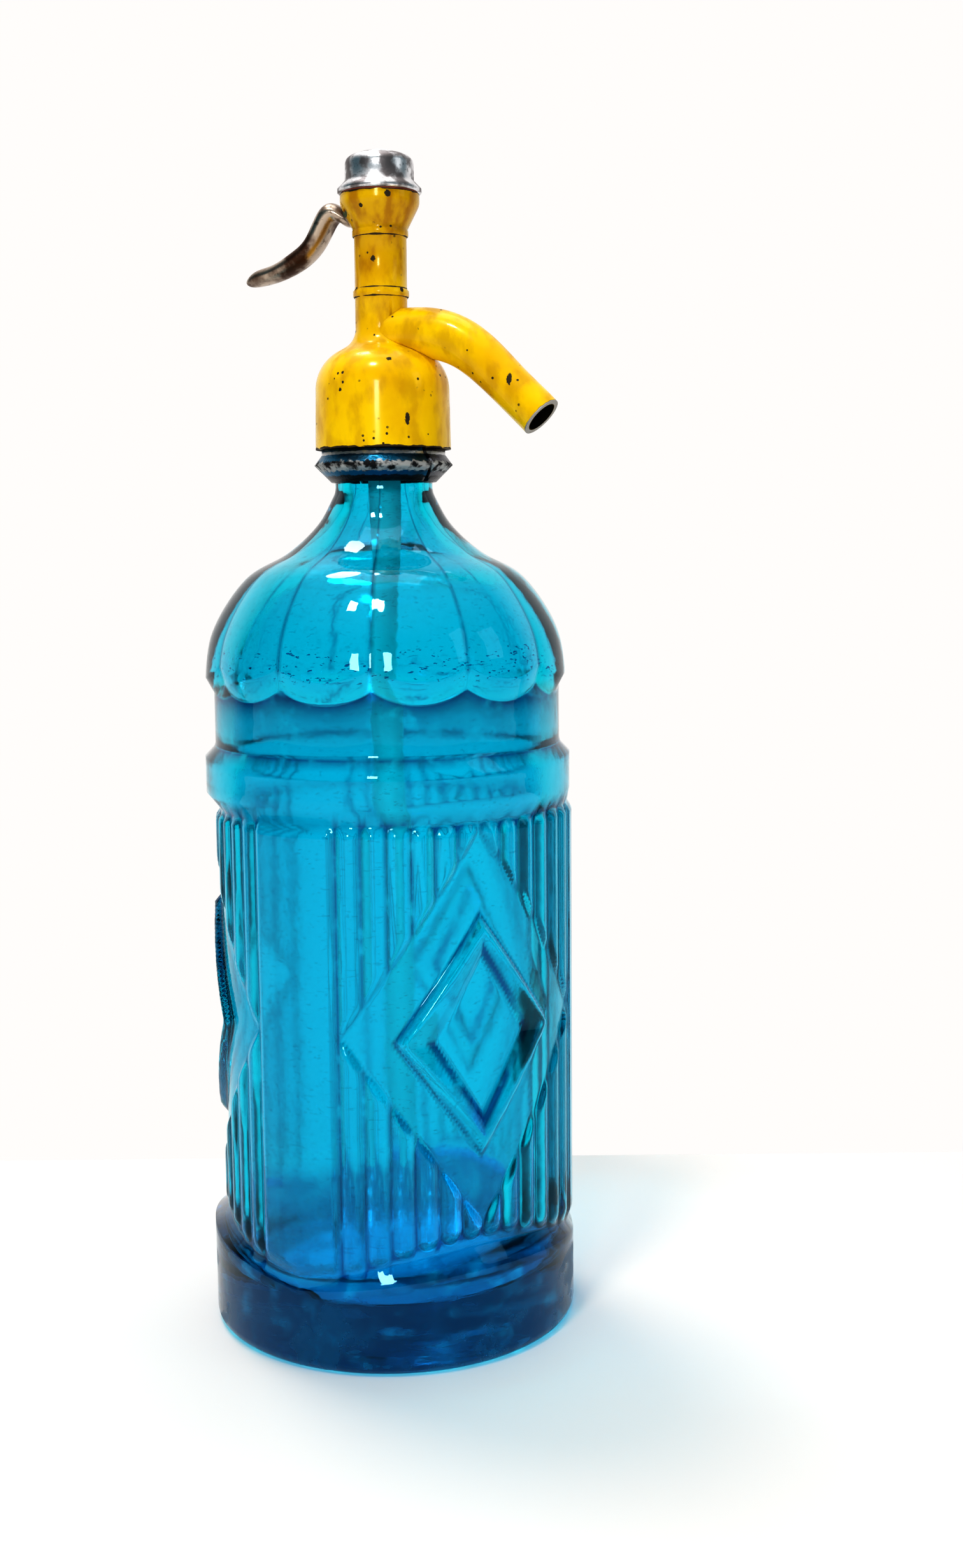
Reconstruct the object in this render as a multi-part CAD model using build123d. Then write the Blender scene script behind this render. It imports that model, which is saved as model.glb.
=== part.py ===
from build123d import *
import math
import os

# Soda siphon.  Millimetres, +Z up.  The origin is the centre of the foot's resting face and the
# spout points along +X, so the lever points along -X.

# ---- Fits -------------------------------------------------------------------------------------
thread_gap = 0.05        # radial gap of a screwed or pressed pair
run_gap = 0.08           # radial gap of a sliding or turning pair
glass_gap = 0.2          # gap between metal and moulded glass

# ---- Glass bottle -----------------------------------------------------------------------------
body_r = 49.1            # mean radius over the reeds' crests
foot_out = 1.7           # foot beyond the body
foot_r = body_r + foot_out
foot_h = 21.0
foot_round = 3.5         # rounded lower edge of the foot
foot_rise = 7.6          # how far the foot's top rises in an arch under each medallion
foot_rise_half = 53.0    # degrees from a medallion's middle to the end of its arch
lobe = 1.5               # the body is fuller at the plain panels and flatter at the medallions
body_h = 124.0
belt_out = 0.9           # raised belt beyond the body
belt_r = body_r + belt_out
belt_in = 1.5            # how far the belt's ramp starts inside the belt's radius
belt_h = 9.6
belt_ramp = 4.1          # slope from the body out to the belt
belt_drop = 2.6          # slope from the belt in to the neck band
band_in = 1.9            # plain band under the dome, inside the body's radius
band_r = body_r - band_in
band_h = 12.0
dome_gap = 4.0           # from the band's height up to the dome's widest ring
petal_out = 2.5          # widest ring of the petals beyond the band
dome_r = band_r + petal_out
dome_h = 53.2
neck_r = 13.2
neck_h = 15.0
lip_r = 14.8             # bead that the collar grips
lip_h = 7.0
glass_wall = 5.7
base_t = 14.0            # thick glass base
cavity_round = 14.0      # rounded inner corner at the base
neck_bore_r = 9.2
# Dome outline as shares of its radius above the neck and of its height
dome_curve = [(0.935, 0.28), (0.68, 0.545), (0.36, 0.675), (0.143, 0.81), (0.03, 0.94)]

# ---- Petals of the dome -----------------------------------------------------------------------
petals = 12
petal_azimuth = 22.0     # a groove between two petals
petal_groove = 0.035     # depth of the grooves as a share of the radius
petal_low = 2.0          # how far the petals reach below the dome's widest ring
petal_bevel = 1.6        # how far their lower edge draws in
petal_fade = 1.6         # how fast the grooves fade out towards the neck
petal_drop = 1.3         # lowest point of each petal's edge below the widest ring
scallop_r = 22.8         # radius of each petal's lower edge

# ---- Reeds, plain panels and medallions of the body -------------------------------------------
medallions = 3
medallion_azimuth = -33.6
reeds = 12               # reeds across each medallion's sector
reed_pitch = 7.67        # degrees
reed_depth = 1.27
reed_half_w = 3.25
reed_low_gap = 3.4       # from the foot's top to the outermost reeds' lower ends
reed_low_rise = 9.9      # how much higher the middle reeds start
reed_top_gap = 1.0
reed_top_dip = 3.0       # how much lower the middle reeds end
field_half_w = 34.3      # smooth lozenge round each medallion, without reeds
field_half_h = 52.6
field_h = 69.0           # lozenge's middle above the foot
frame_half_w = 28.9      # raised lozenge frame, in degrees
frame_half_h = 31.8
frame_h = 67.5           # frame's middle above the foot
frame_out = 2.4          # frame's crest above the field
recess_half_w = 16.4     # sunken lozenge inside the frame, in degrees
recess_half_h = 21.2
recess_t = 1.8           # recess below the frame's crest
groove_half_h = 0.02     # half-width of the groove from the recess out to the frame's corners
overlap = 1.0            # how far the bottle's turned shapes run into each other

# ---- Dip tube, bush and gasket ----------------------------------------------------------------
tube_r = 4.3
tube_bore_r = 2.9
tube_foot_gap = 28.0     # from the inner floor to the tube's lower end
tube_head_r = 5.6        # flared top that hangs on the bush
tube_head_h = 1.5
bush_h = 15.0
gasket_t = 2.0
gasket_r = 14.6

# ---- Split collar -----------------------------------------------------------------------------
collar_r = 18.7          # widest edge
collar_foot_r = 14.2
collar_skirt_h = 4.5     # from the underside up to the widest edge
collar_bevel_h = 2.7
collar_thread_r = 16.7
collar_top_gap = 1.0     # collar's top edge below the glass lip's top
collar_joint = 1.5       # open joint between the collar's bevel and the bell's rim
split_gap = 1.2
split_azimuth = -19.0
split_slant = 18.0

# ---- Head body: bell, column and cup ----------------------------------------------------------
bell_rim_r = 18.3
bell_r = 17.9
bell_depth = 13.8        # from the inner face down to the rim
bell_round = 11.5
shoulder_h = 8.8         # outer edge of the shoulder above the inner face
column_root_h = 14.8     # where the shoulder's slope meets the column
column_r = 7.0
root_round = 6.0
ring_h = 27.2            # lower ring above the inner face
ring_t = 1.3
ring_out = 0.5           # how far each ring stands out
cup_ring_h = 42.9
cup_cone_h = 43.9
cup_cone_r = 7.3
cup_wide_h = 50.3
cup_rim_h = 2.7          # straight wall between the cone and the cup's top
cup_r = 10.6
cup_round = 4.0

# ---- Valve ------------------------------------------------------------------------------------
seat_r = 4.95
seat_bottom_h = 1.5
seat_shoulder_h = 7.5    # step of the bore that the seat's gasket meets
seat_gasket_t = 0.6
seat_nozzle_h = 1.2      # nozzle above the shoulder
seat_nozzle_r = 3.0
seat_bore_r = 2.0
chamber_r = 4.4
chamber_h = 18.0         # chamber above the shoulder
chamber_roof_t = 3.0
washer_r = 3.7
washer_t = 2.2
holder_t = 2.0
stem_r = 1.9
screw_shank_r = 0.9
screw_head_r = 1.5
screw_head_t = 0.8
screw_depth = 1.4
driver_slot_w = 0.9
packing_r = 4.4
packing_t = 4.0
gland_t = 6.0
gland_relief = 1.5       # free height of the bore above the gland
gland_slot_w = 1.0
gland_slot_t = 1.2

# ---- Crosshead, spring and cap ----------------------------------------------------------------
crosshead_r = 4.9
crosshead_low = 5.1      # below the pivot's height
crosshead_high = 3.7     # above the pivot's height
window_w = 4.2
window_low = 2.8
window_in = 1.0          # window beyond the finger's round end
window_out = 2.0         # how far its cutter reaches past the crosshead
finger_gap = 0.1         # finger below the window's roof
guide_r = 2.4
guide_h = 3.0
spring_r = 3.6
spring_wire = 0.8
spring_turns = 5.0
cap_r = 9.2
cap_wall_h = 6.9         # from the flange's underside to the crown
cap_crown_h = 4.1        # domed crown
cap_flange_r = 11.2
cap_flange_t = 0.9
cap_cone_h = 3.0
cap_bore_r = 6.2
cap_roof_t = 1.0         # inner roof above the crown's foot
cap_thread_r = 7.6
cap_thread_h = 2.4
cap_thread_relief = 0.1
cap_washer_t = 0.5
cap_washer_r = 10.2

# ---- Spout ------------------------------------------------------------------------------------
spout_h = 16.7           # bore's centre above the inner face at the column
spout_corner_x = 21.8    # where the two straight centre lines meet
spout_bend_r = 32.0
spout_fall = 43.8        # degrees below level at the mouth
spout_run = 33.8         # from the corner to the mouth
spout_root_r = 6.7
spout_tip_r = 5.7
spout_bore_r = 4.2
spigot_r = 5.0
spigot_in = 4.9          # inner end of the spigot from the head's axis
spigot_lap = 1.0         # how far the spigot runs on into the tube

# ---- Lever ------------------------------------------------------------------------------------
pivot_x = -7.3
pivot_h = 48.1           # pivot above the inner face
pin_r = 1.0
pin_half = 5.3
lever_boss_r = 2.1
lever_boss_w = 6.4
finger_r = 1.5
finger_t = 2.2
finger_w = 3.6
slot_side_gap = 0.3
slot_past_guide = 1.0    # how far the slot opens into the guide bore
slot_low = 3.3
slot_high = 2.8
tongue_w = 8.6
tongue_t = 5.0
tongue_reach = 33.8
# Centre line of the tongue from the pivot, as shares (x, z) of its reach, with its slope in
# degrees and the shares of the full width and thickness there
tongue_line = [
    (0.0118, 0.0000, 180.0, 0.7, 0.8),
    (-0.1065, 0.0030, 180.0, 0.7, 0.84),
    (-0.1953, 0.0385, 205.0, 0.94, 1.1),
    (-0.3107, -0.0976, 237.0, 1.0, 1.05),
    (-0.4231, -0.2426, 225.0, 1.0, 1.0),
    (-0.6036, -0.3491, 205.0, 0.98, 0.98),
    (-0.8166, -0.4142, 196.0, 0.88, 0.9),
    (-0.9586, -0.4497, 193.0, 0.56, 0.56),
    (-1.0000, -0.4586, 193.0, 0.16, 0.16),
]

# ---- Heights worked out from the sizes above --------------------------------------------------
belt_z = foot_h + body_h + belt_ramp
band_z = belt_z + belt_h + belt_drop
dome_z = band_z + band_h + dome_gap
neck_z = dome_z + dome_h
lip_z = neck_z + neck_h
glass_top_z = lip_z + lip_h
face_z = glass_top_z + gasket_t
bell_rim_z = face_z - bell_depth
collar_z = bell_rim_z - collar_joint - collar_bevel_h - collar_skirt_h
seat_z = face_z + seat_shoulder_h
nozzle_z = seat_z + seat_nozzle_h
roof_z = seat_z + chamber_h
packing_z = roof_z + chamber_roof_t
gland_z = packing_z + packing_t
pivot_z = face_z + pivot_h
crosshead_z = pivot_z - crosshead_low
crosshead_top_z = pivot_z + crosshead_high
cup_top_z = face_z + cup_wide_h + cup_rim_h
cap_z = cup_top_z + cap_washer_t
crown_z = cap_z + cap_wall_h
cap_roof_z = crown_z + cap_roof_t
spout_z = face_z + spout_h


def outline(*points):
    """Face inside a closed outline of (radius, height) or (radius, height, corner radius)."""
    face = make_face(Polyline(*[(p[0], p[1]) for p in points], close=True))
    for p in points:
        if len(p) == 3:
            face = fillet(face.vertices().sort_by_distance((p[0], p[1]))[0], p[2])
    return face


def turned(*points):
    """Solid of revolution about Z, from the same points as outline."""
    return revolve(Plane.XZ * outline(*points), Axis.Z)


def ring(outer, inner, z, height):
    """Flat ring about Z that stands on the height z."""
    return Pos(0, 0, z) * extrude(Circle(outer) - Circle(inner), height)


def rod(radius, z, height):
    """Solid cylinder about Z that stands on the height z."""
    return Pos(0, 0, z) * extrude(Circle(radius), height)


def dome_points(radius, bore, z, height):
    """Points of the dome's outline from its widest ring up to the neck."""
    inner = [(bore + (radius - bore) * a, z + height * b) for a, b in dome_curve]
    return [(radius, z)] + inner + [(bore, z + height)]


def shoulder(radius, bore, z, height):
    """Dome outline as one smooth curve, upright at both ends."""
    return Spline(*dome_points(radius, bore, z, height), tangents=[(0, 1), (0, 1)])


def crest_r(angle):
    """Radius over the reeds' crests, at an angle from a medallion's middle."""
    return body_r - lobe * math.cos(math.radians(medallions * angle))


def around(radius, angle):
    """Point on the level plane, at an angle from the first medallion's middle."""
    turn = math.radians(medallion_azimuth + angle)
    return (radius * math.cos(turn), radius * math.sin(turn))


def lobed(inset, low, high, half=None):
    """Upright solid inside the lobed outline, inset from the crests; a sector if half is given."""
    whole = 360 / medallions
    if half is None:
        steps = [i * whole / 12 for i in range(12 * medallions)]
        edge = Spline(*[around(crest_r(a) - inset, a) for a in steps], periodic=True)
    else:
        steps = [whole / 2 + half * (i / 4 - 1) for i in range(9)]
        arc = Spline(*[around(crest_r(a) - inset, a) for a in steps])
        edge = arc + Polyline(arc @ 1, (0, 0), arc @ 0)
    return Pos(0, 0, low) * extrude(make_face(edge), high - low)


def reed(angle):
    """One reed with round ends: a capsule sunk into the body."""
    share = (2 * angle / (reeds * reed_pitch)) ** 2
    radius = (reed_half_w**2 + reed_depth**2) / (2 * reed_depth)
    low = foot_h + reed_low_gap + reed_low_rise * (1 - share) + radius - reed_depth
    high = foot_h + body_h - reed_top_gap - reed_top_dip * (1 - share) - radius + reed_depth
    x, y = around(crest_r(angle) - radius, angle)
    body = Pos(x, y, low) * Cylinder(radius, high - low, align=(Align.CENTER, Align.CENTER, Align.MIN))
    return body + Pos(x, y, low) * Sphere(radius) + Pos(x, y, high) * Sphere(radius)


def lozenge(half_w, half_h, middle):
    """Radial prism of a lozenge on the first medallion."""
    face = make_face(Polyline((half_w, 0), (0, half_h), (-half_w, 0), (0, -half_h), close=True))
    return Rot(0, 0, medallion_azimuth) * Pos(0, 0, middle) * extrude(Plane.YZ * face, foot_r)


def frame_crest():
    """Radius over a medallion's raised frame."""
    return crest_r(0) - reed_depth + frame_out


def frame_boss():
    """Lozenge that stands out of the field round the first medallion."""
    half_w = crest_r(0) * math.sin(math.radians(frame_half_w))
    prism = lozenge(half_w, frame_half_h, foot_h + frame_h)
    return prism & lobed(reed_depth - frame_out, foot_h, foot_h + body_h)


def hollow_section(angle):
    """Section of the frame's hollow, in the upright plane at an angle from its middle."""
    side = abs(angle)
    crest, beyond = frame_crest(), foot_r + frame_out
    ridge_h = frame_half_h * (1 - side / frame_half_w)
    floor_h = max(recess_half_h * (1 - side / recess_half_w), groove_half_h)
    past = max(side - recess_half_w, 0) / (frame_half_w - recess_half_w)
    floor = crest - recess_t * (1 - past)
    section = Polyline(
        (beyond, -ridge_h), (crest, -ridge_h), (floor, -floor_h), (floor, floor_h), (crest, ridge_h),
        (beyond, ridge_h), close=True,
    )
    place = Rot(0, 0, medallion_azimuth + angle) * Pos(0, 0, foot_h + frame_h)
    return place * (Plane.XZ * make_face(section))


def frame_hollow():
    """Everything that is hollowed out inside the first medallion's frame, down to the recess."""
    inner = [recess_half_w * k / 3 for k in range(4)]
    outer = [recess_half_w + (frame_half_w - recess_half_w) * k for k in (0.5, 0.97)]
    side = inner + outer
    return loft([hollow_section(a) for a in [-a for a in side[:0:-1]] + side], ruled=True)


def foot_arches():
    """Upper parts of the foot, which rise in an arch under each medallion."""
    half = foot_r * math.radians(foot_rise_half)
    radius = (half**2 + foot_rise**2) / (2 * foot_rise)
    disc = Rot(0, 90, 0) * Cylinder(radius, foot_r, align=(Align.CENTER, Align.CENTER, Align.MIN))
    arch = rod(foot_r, foot_h, foot_rise) & Pos(0, 0, foot_h + foot_rise - radius) * disc
    return [Rot(0, 0, medallion_azimuth + 360 / medallions * i) * arch for i in range(medallions)]


def petal_ring(radius, z, groove):
    """Section of the petalled dome at one height: an arc for each petal."""
    edges = []
    for i in range(petals):
        turns = [math.radians(petal_azimuth + 360 / petals * (i + k)) for k in (0, 0.5, 1)]
        sizes = (radius - groove, radius, radius - groove)
        edges.append(ThreePointArc(*[(r * math.cos(a), r * math.sin(a), z) for r, a in zip(sizes, turns)]))
    return make_face(Wire(edges))


def petal_dome():
    """Petalled dome from below its lower edge up to the neck."""
    curve = shoulder(dome_r, neck_r, dome_z, dome_h)
    rings = [(dome_r - petal_bevel, dome_z - petal_low), (dome_r, dome_z + petal_low)]
    rings += [((curve @ t).X, (curve @ t).Y) for t in (0.16, 0.28, 0.39, 0.5, 0.6, 0.7, 0.8, 0.9, 1.0)]
    fade = [min(1, petal_fade * (neck_z - z) / dome_h) for r, z in rings]
    return loft([petal_ring(r, z, petal_groove * r * f) for (r, z), f in zip(rings, fade)])


def below_petals():
    """Everything round the band that lies below the petals' scalloped edge."""
    slab = ring(dome_r + petal_out, band_r - petal_out, dome_z - 2 * petal_low, 5 * petal_low)
    disc = Rot(0, 90, 0) * Cylinder(scallop_r, 2 * dome_r, align=(Align.CENTER, Align.CENTER, Align.MIN))
    disc = Pos(0, 0, dome_z - petal_drop + scallop_r) * disc
    return slab - [Rot(0, 0, petal_azimuth + 360 / petals * (i + 0.5)) * disc for i in range(petals)]


def reeded_body():
    """Body between foot and belt: reeds, plain panels and medallions on the lobed outline."""
    low, high = foot_h, foot_h + body_h
    field = lozenge(field_half_w, field_half_h, low + field_h)
    relief = [reed(reed_pitch * (i - reeds / 2 + 0.5)) - field for i in range(reeds)]
    relief.append(frame_boss() - frame_hollow())
    relief.append(lobed(0, low, high, (360 / medallions - reeds * reed_pitch) / 2))
    turns = [360 / medallions * i for i in range(medallions)]
    return lobed(reed_depth, low, high).fuse(*[Rot(0, 0, t) * one for t in turns for one in relief])


def glass_bottle():
    """Moulded bottle: foot, reeded body with medallions, belt, band, petalled dome, neck and lip."""
    top_z = foot_h + body_h
    foot = turned((0, 0), (foot_r, 0, foot_round), (foot_r, foot_h), (0, foot_h))
    belt = turned(
        (0, top_z - overlap), (belt_r - belt_in, top_z - overlap), (belt_r - belt_in, top_z),
        (belt_r, belt_z), (belt_r, belt_z + belt_h), (band_r, band_z), (band_r, dome_z + petal_low),
        (0, dome_z + petal_low),
    )
    neck = turned(
        (0, neck_z - overlap), (neck_r, neck_z - overlap), (neck_r, lip_z), (lip_r, lip_z),
        (lip_r, glass_top_z), (0, glass_top_z),
    )
    petal_part = petal_dome() - below_petals()
    return reeded_body().fuse(foot, *foot_arches(), belt, petal_part, neck) - cavity()


def cavity():
    """Inside of the bottle, up through the neck."""
    wide = body_r - glass_wall
    curve = shoulder(wide, neck_bore_r, dome_z - glass_wall, dome_h)
    floor = Polyline((0, base_t), (wide - cavity_round, base_t))
    corner = RadiusArc((wide - cavity_round, base_t), (wide, base_t + cavity_round), -cavity_round)
    wall = Line((wide, base_t + cavity_round), (wide, dome_z - glass_wall))
    mouth = Polyline((neck_bore_r, dome_z - glass_wall + dome_h), (neck_bore_r, glass_top_z), (0, glass_top_z), (0, base_t))
    return revolve(Plane.XZ * make_face(floor + corner + wall + curve + mouth), Axis.Z)


def dip_tube():
    """Glass tube from near the floor up to its flared head on the bush."""
    foot_z = base_t + tube_foot_gap
    tube = ring(tube_r, tube_bore_r, foot_z, glass_top_z - foot_z)
    return tube + ring(tube_head_r, tube_bore_r, glass_top_z, tube_head_h)


def tube_bush():
    """Rubber bush that seals the tube in the neck."""
    return ring(neck_bore_r - thread_gap, tube_r + thread_gap, glass_top_z - bush_h, bush_h)


def neck_gasket():
    """Rubber ring between the glass lip and the head."""
    return ring(gasket_r, tube_head_r + glass_gap, glass_top_z, gasket_t)


def collar_halves():
    """Two halves of the threaded collar under the glass lip, split on a slanted gap."""
    low = lip_z - glass_gap
    whole = turned(
        (neck_r + glass_gap, collar_z), (collar_foot_r, collar_z), (collar_r, collar_z + collar_skirt_h),
        (collar_thread_r, bell_rim_z - collar_joint),
        (collar_thread_r, glass_top_z - collar_top_gap), (lip_r + glass_gap, glass_top_z - collar_top_gap),
        (lip_r + glass_gap, low), (neck_r + glass_gap, low),
    )
    saw = Box(4 * collar_r, split_gap, 4 * collar_r)
    saw = Pos(0, 0, collar_z + collar_skirt_h) * Rot(0, 0, split_azimuth) * Rot(split_slant, 0, 0) * saw
    return (whole - saw).solids().sort_by(Axis.Y)


def bell_and_column(grow):
    """Outside of the bell and the lower column, grown by a gap."""
    return turned(
        (0, bell_rim_z), (bell_rim_r + grow, bell_rim_z), (bell_r + grow, face_z + shoulder_h + grow, bell_round),
        (column_r + grow, face_z + column_root_h + grow, root_round), (column_r + grow, face_z + ring_h),
        (0, face_z + ring_h),
    )


def ring_and_cup():
    """Outside of the upper column with its two rings, and the cup."""
    low, high = face_z + ring_h, face_z + cup_ring_h
    ring_r = column_r + ring_out
    return turned(
        (0, low - ring_t), (column_r, low - ring_t), (ring_r, low - ring_t / 2), (ring_r, low + ring_t / 2),
        (column_r, low + ring_t), (column_r, high - ring_t), (ring_r, high - ring_t / 2),
        (ring_r, high + ring_t / 2), (cup_cone_r, face_z + cup_cone_h), (cup_r, face_z + cup_wide_h, cup_round),
        (cup_r, cup_top_z), (0, cup_top_z),
    )


def head_body():
    """Cast head: bell over the collar, column and cup in one piece, with its bores."""
    outside = bell_and_column(0) + ring_and_cup()
    return outside - head_bores() - spout_hole() - lever_slot() - pin_hole()


def head_bores():
    """All bores on the head's axis, from the bell up to the cap's thread."""
    seat_bore = seat_r + thread_gap
    gland_bore = packing_r + thread_gap
    guide_bore = crosshead_r + run_gap
    cap_bore = cap_thread_r + thread_gap
    guide_z = gland_z + gland_t + gland_relief
    cap_thread_z = cup_top_z - cap_thread_h - cap_thread_relief
    bell_bore = collar_thread_r + thread_gap
    return turned(
        (0, bell_rim_z), (bell_bore, bell_rim_z), (bell_bore, face_z),
        (seat_bore, face_z), (seat_bore, seat_z), (chamber_r, seat_z), (chamber_r, roof_z),
        (stem_r + run_gap, roof_z), (stem_r + run_gap, packing_z), (gland_bore, packing_z),
        (gland_bore, guide_z), (guide_bore, guide_z), (guide_bore, cap_thread_z), (cap_bore, cap_thread_z),
        (cap_bore, cup_top_z), (0, cup_top_z),
    )


def along_x(radius, x0, x1, z):
    """Cylinder on a level line along X."""
    return Pos(x0, 0, z) * (Rot(0, 90, 0) * extrude(Circle(radius), x1 - x0))


def along_y(radius, half, x, z):
    """Cylinder on a level line along Y, centred on Y."""
    return Pos(x, 0, z) * (Rot(90, 0, 0) * Cylinder(radius, 2 * half))


def spout_hole():
    """Threaded hole in the column for the spout's spigot."""
    return along_x(spigot_r + thread_gap, 0, 2 * column_r, spout_z)


def lever_slot():
    """Slot in the cup that the lever passes through."""
    width = lever_boss_w + 2 * slot_side_gap
    height = slot_low + slot_high
    return Pos(-cup_r, 0, pivot_z - slot_low + height / 2) * Box(2 * (cup_r - crosshead_r + slot_past_guide), width, height)


def pin_hole():
    """Hole across the slot for the pivot pin."""
    return along_y(pin_r + thread_gap, cup_r, pivot_x, pivot_z)


def spout_path():
    """Centre line of the spout, level at the column and falling to the mouth."""
    fall = math.radians(spout_fall)
    mouth = (spout_corner_x + spout_run * math.cos(fall), spout_z - spout_run * math.sin(fall))
    return Plane.XZ * FilletPolyline((0, spout_z), (spout_corner_x, spout_z), mouth, radius=spout_bend_r)


def spout():
    """Tapered bent tube with a saddle and a spigot at the column."""
    path = spout_path()
    steps = [0, 0.25, 0.5, 0.7, 0.85, 1]
    shares = [1, 0.95, 0.55, 0.1, 0, 0]
    sections = [(path ^ t) * Circle(spout_tip_r + (spout_root_r - spout_tip_r) * k) for t, k in zip(steps, shares)]
    tube = loft(sections) - bell_and_column(thread_gap)
    tube += along_x(spigot_r, spigot_in, column_r + spigot_lap, spout_z)
    return tube - sweep((path ^ 0) * Circle(spout_bore_r), path)


def valve_seat():
    """Screwed seat with a raised nozzle and a driver's slot below."""
    bottom, top = face_z + seat_bottom_h, seat_z - seat_gasket_t
    seat = turned(
        (seat_bore_r, bottom), (seat_r, bottom), (seat_r, top), (seat_nozzle_r, top),
        (seat_nozzle_r, nozzle_z - 0.6), (seat_nozzle_r - 0.5, nozzle_z), (seat_bore_r, nozzle_z),
    )
    return seat - Pos(0, 0, bottom) * Box(3 * seat_r, driver_slot_w, 2 * driver_slot_w)


def seat_gasket():
    """Fibre ring between the seat and the step of the bore."""
    return ring(seat_r, seat_nozzle_r + glass_gap, seat_z - seat_gasket_t, seat_gasket_t)


def valve_stem():
    """Stem with the washer's holder below and the windowed crosshead above."""
    holder_z = nozzle_z + washer_t
    stem = turned(
        (0, holder_z), (washer_r, holder_z), (washer_r, holder_z + holder_t - 0.8), (stem_r, holder_z + holder_t),
        (stem_r, crosshead_z), (crosshead_r, crosshead_z), (crosshead_r, crosshead_top_z),
        (guide_r, crosshead_top_z), (guide_r, crosshead_top_z + guide_h), (0, crosshead_top_z + guide_h),
    )
    height = window_low + finger_r + finger_gap
    middle = pivot_z - window_low + height / 2
    low, high = -crosshead_r - window_out, finger_r + window_in
    window = Pos((low + high) / 2, 0, middle) * Box(high - low, window_w, height)
    return stem - window - rod(screw_shank_r, holder_z, screw_depth)


def valve_washer():
    """Rubber washer that closes the nozzle."""
    return ring(washer_r, screw_shank_r, nozzle_z, washer_t)


def washer_screw():
    """Slotted screw that holds the washer."""
    head = rod(screw_head_r, nozzle_z - screw_head_t, screw_head_t)
    slot = Pos(0, 0, nozzle_z - screw_head_t) * Box(4 * screw_head_r, 0.4, 0.7)
    return head - slot + rod(screw_shank_r, nozzle_z, washer_t + screw_depth)


def stem_packing():
    """Rubber packing round the stem."""
    return ring(packing_r, stem_r + run_gap, packing_z, packing_t)


def gland_nut():
    """Slotted nut that presses the packing."""
    nut = ring(packing_r, stem_r + run_gap, gland_z, gland_t)
    return nut - Pos(0, 0, gland_z + gland_t) * Box(3 * packing_r, gland_slot_w, 2 * gland_slot_t)


def return_spring():
    """Round-wire spring between the crosshead and the cap's roof."""
    height = cap_roof_z - crosshead_top_z - spring_wire
    helix = Pos(0, 0, crosshead_top_z + spring_wire / 2) * Helix(height / spring_turns, height, spring_r)
    return sweep((helix ^ 0) * Circle(spring_wire / 2), helix, is_frenet=True)


def screw_cap():
    """Turned cap with a domed crown, a coned flange and a threaded skirt that enters the cup."""
    low = cup_top_z - cap_thread_h
    side = Polyline(
        (cap_bore_r, low), (cap_thread_r, low), (cap_thread_r, cap_z), (cap_flange_r, cap_z),
        (cap_flange_r, cap_z + cap_flange_t), (cap_r, cap_z + cap_cone_h), (cap_r, crown_z),
    )
    half = math.sqrt(0.5)
    top = (0, crown_z + cap_crown_h)
    middle = (half * cap_r, crown_z + half * cap_crown_h)
    crown = Spline((cap_r, crown_z), middle, top, tangents=[(0, 1), (-1, 0)])
    inside = Polyline(top, (0, cap_roof_z), (cap_bore_r, cap_roof_z), (cap_bore_r, low))
    return revolve(Plane.XZ * make_face(side + crown + inside), Axis.Z)


def cap_washer():
    """Fibre ring between the cap and the cup."""
    return ring(cap_washer_r, cap_thread_r + glass_gap, cup_top_z, cap_washer_t)


def lever():
    """Curved tongue outside, pivot boss in the slot and a finger in the crosshead's window."""
    sections = []
    for x, z, slope, wide, thick in tongue_line:
        angle = math.radians(slope)
        here = (pivot_x + tongue_reach * x, 0, pivot_z + tongue_reach * z)
        plane = Plane(here, x_dir=(0, 1, 0), z_dir=(math.cos(angle), 0, math.sin(angle)))
        sections.append(plane * Ellipse(tongue_w / 2 * wide, tongue_t / 2 * thick))
    body = loft(sections) + along_y(lever_boss_r, lever_boss_w / 2, pivot_x, pivot_z)
    body += Pos(pivot_x / 2, 0, pivot_z) * Box(-pivot_x, finger_w, finger_t)
    body += along_y(finger_r, finger_w / 2, 0, pivot_z)
    return body - along_y(pin_r + run_gap, lever_boss_w, pivot_x, pivot_z)


def lever_pin():
    """Pivot pin across the slot."""
    return along_y(pin_r, pin_half, pivot_x, pivot_z)


def pieces():
    """Every separate piece by its name."""
    half_back, half_front = collar_halves()[::-1]
    return {
        "glass_bottle": glass_bottle(), "dip_tube": dip_tube(), "tube_bush": tube_bush(),
        "neck_gasket": neck_gasket(), "collar_half_front": half_front, "collar_half_back": half_back,
        "head_body": head_body(), "spout": spout(), "valve_seat": valve_seat(),
        "seat_gasket": seat_gasket(), "valve_stem": valve_stem(), "valve_washer": valve_washer(),
        "washer_screw": washer_screw(), "stem_packing": stem_packing(), "gland_nut": gland_nut(),
        "return_spring": return_spring(), "screw_cap": screw_cap(), "cap_washer": cap_washer(),
        "lever": lever(), "lever_pin": lever_pin(),
    }


os.makedirs("parts", exist_ok=True)
for name, piece in pieces().items():
    export_step(piece, f"parts/{name}.step")
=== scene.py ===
"""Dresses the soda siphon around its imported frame: glass, enamel, metals, studio and camera."""

from __future__ import annotations

import logging
import math
from dataclasses import dataclass, field, fields
from enum import Enum
from functools import cache

import bmesh
import bpy
import numpy as np
from mathutils import Matrix, Vector


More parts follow.
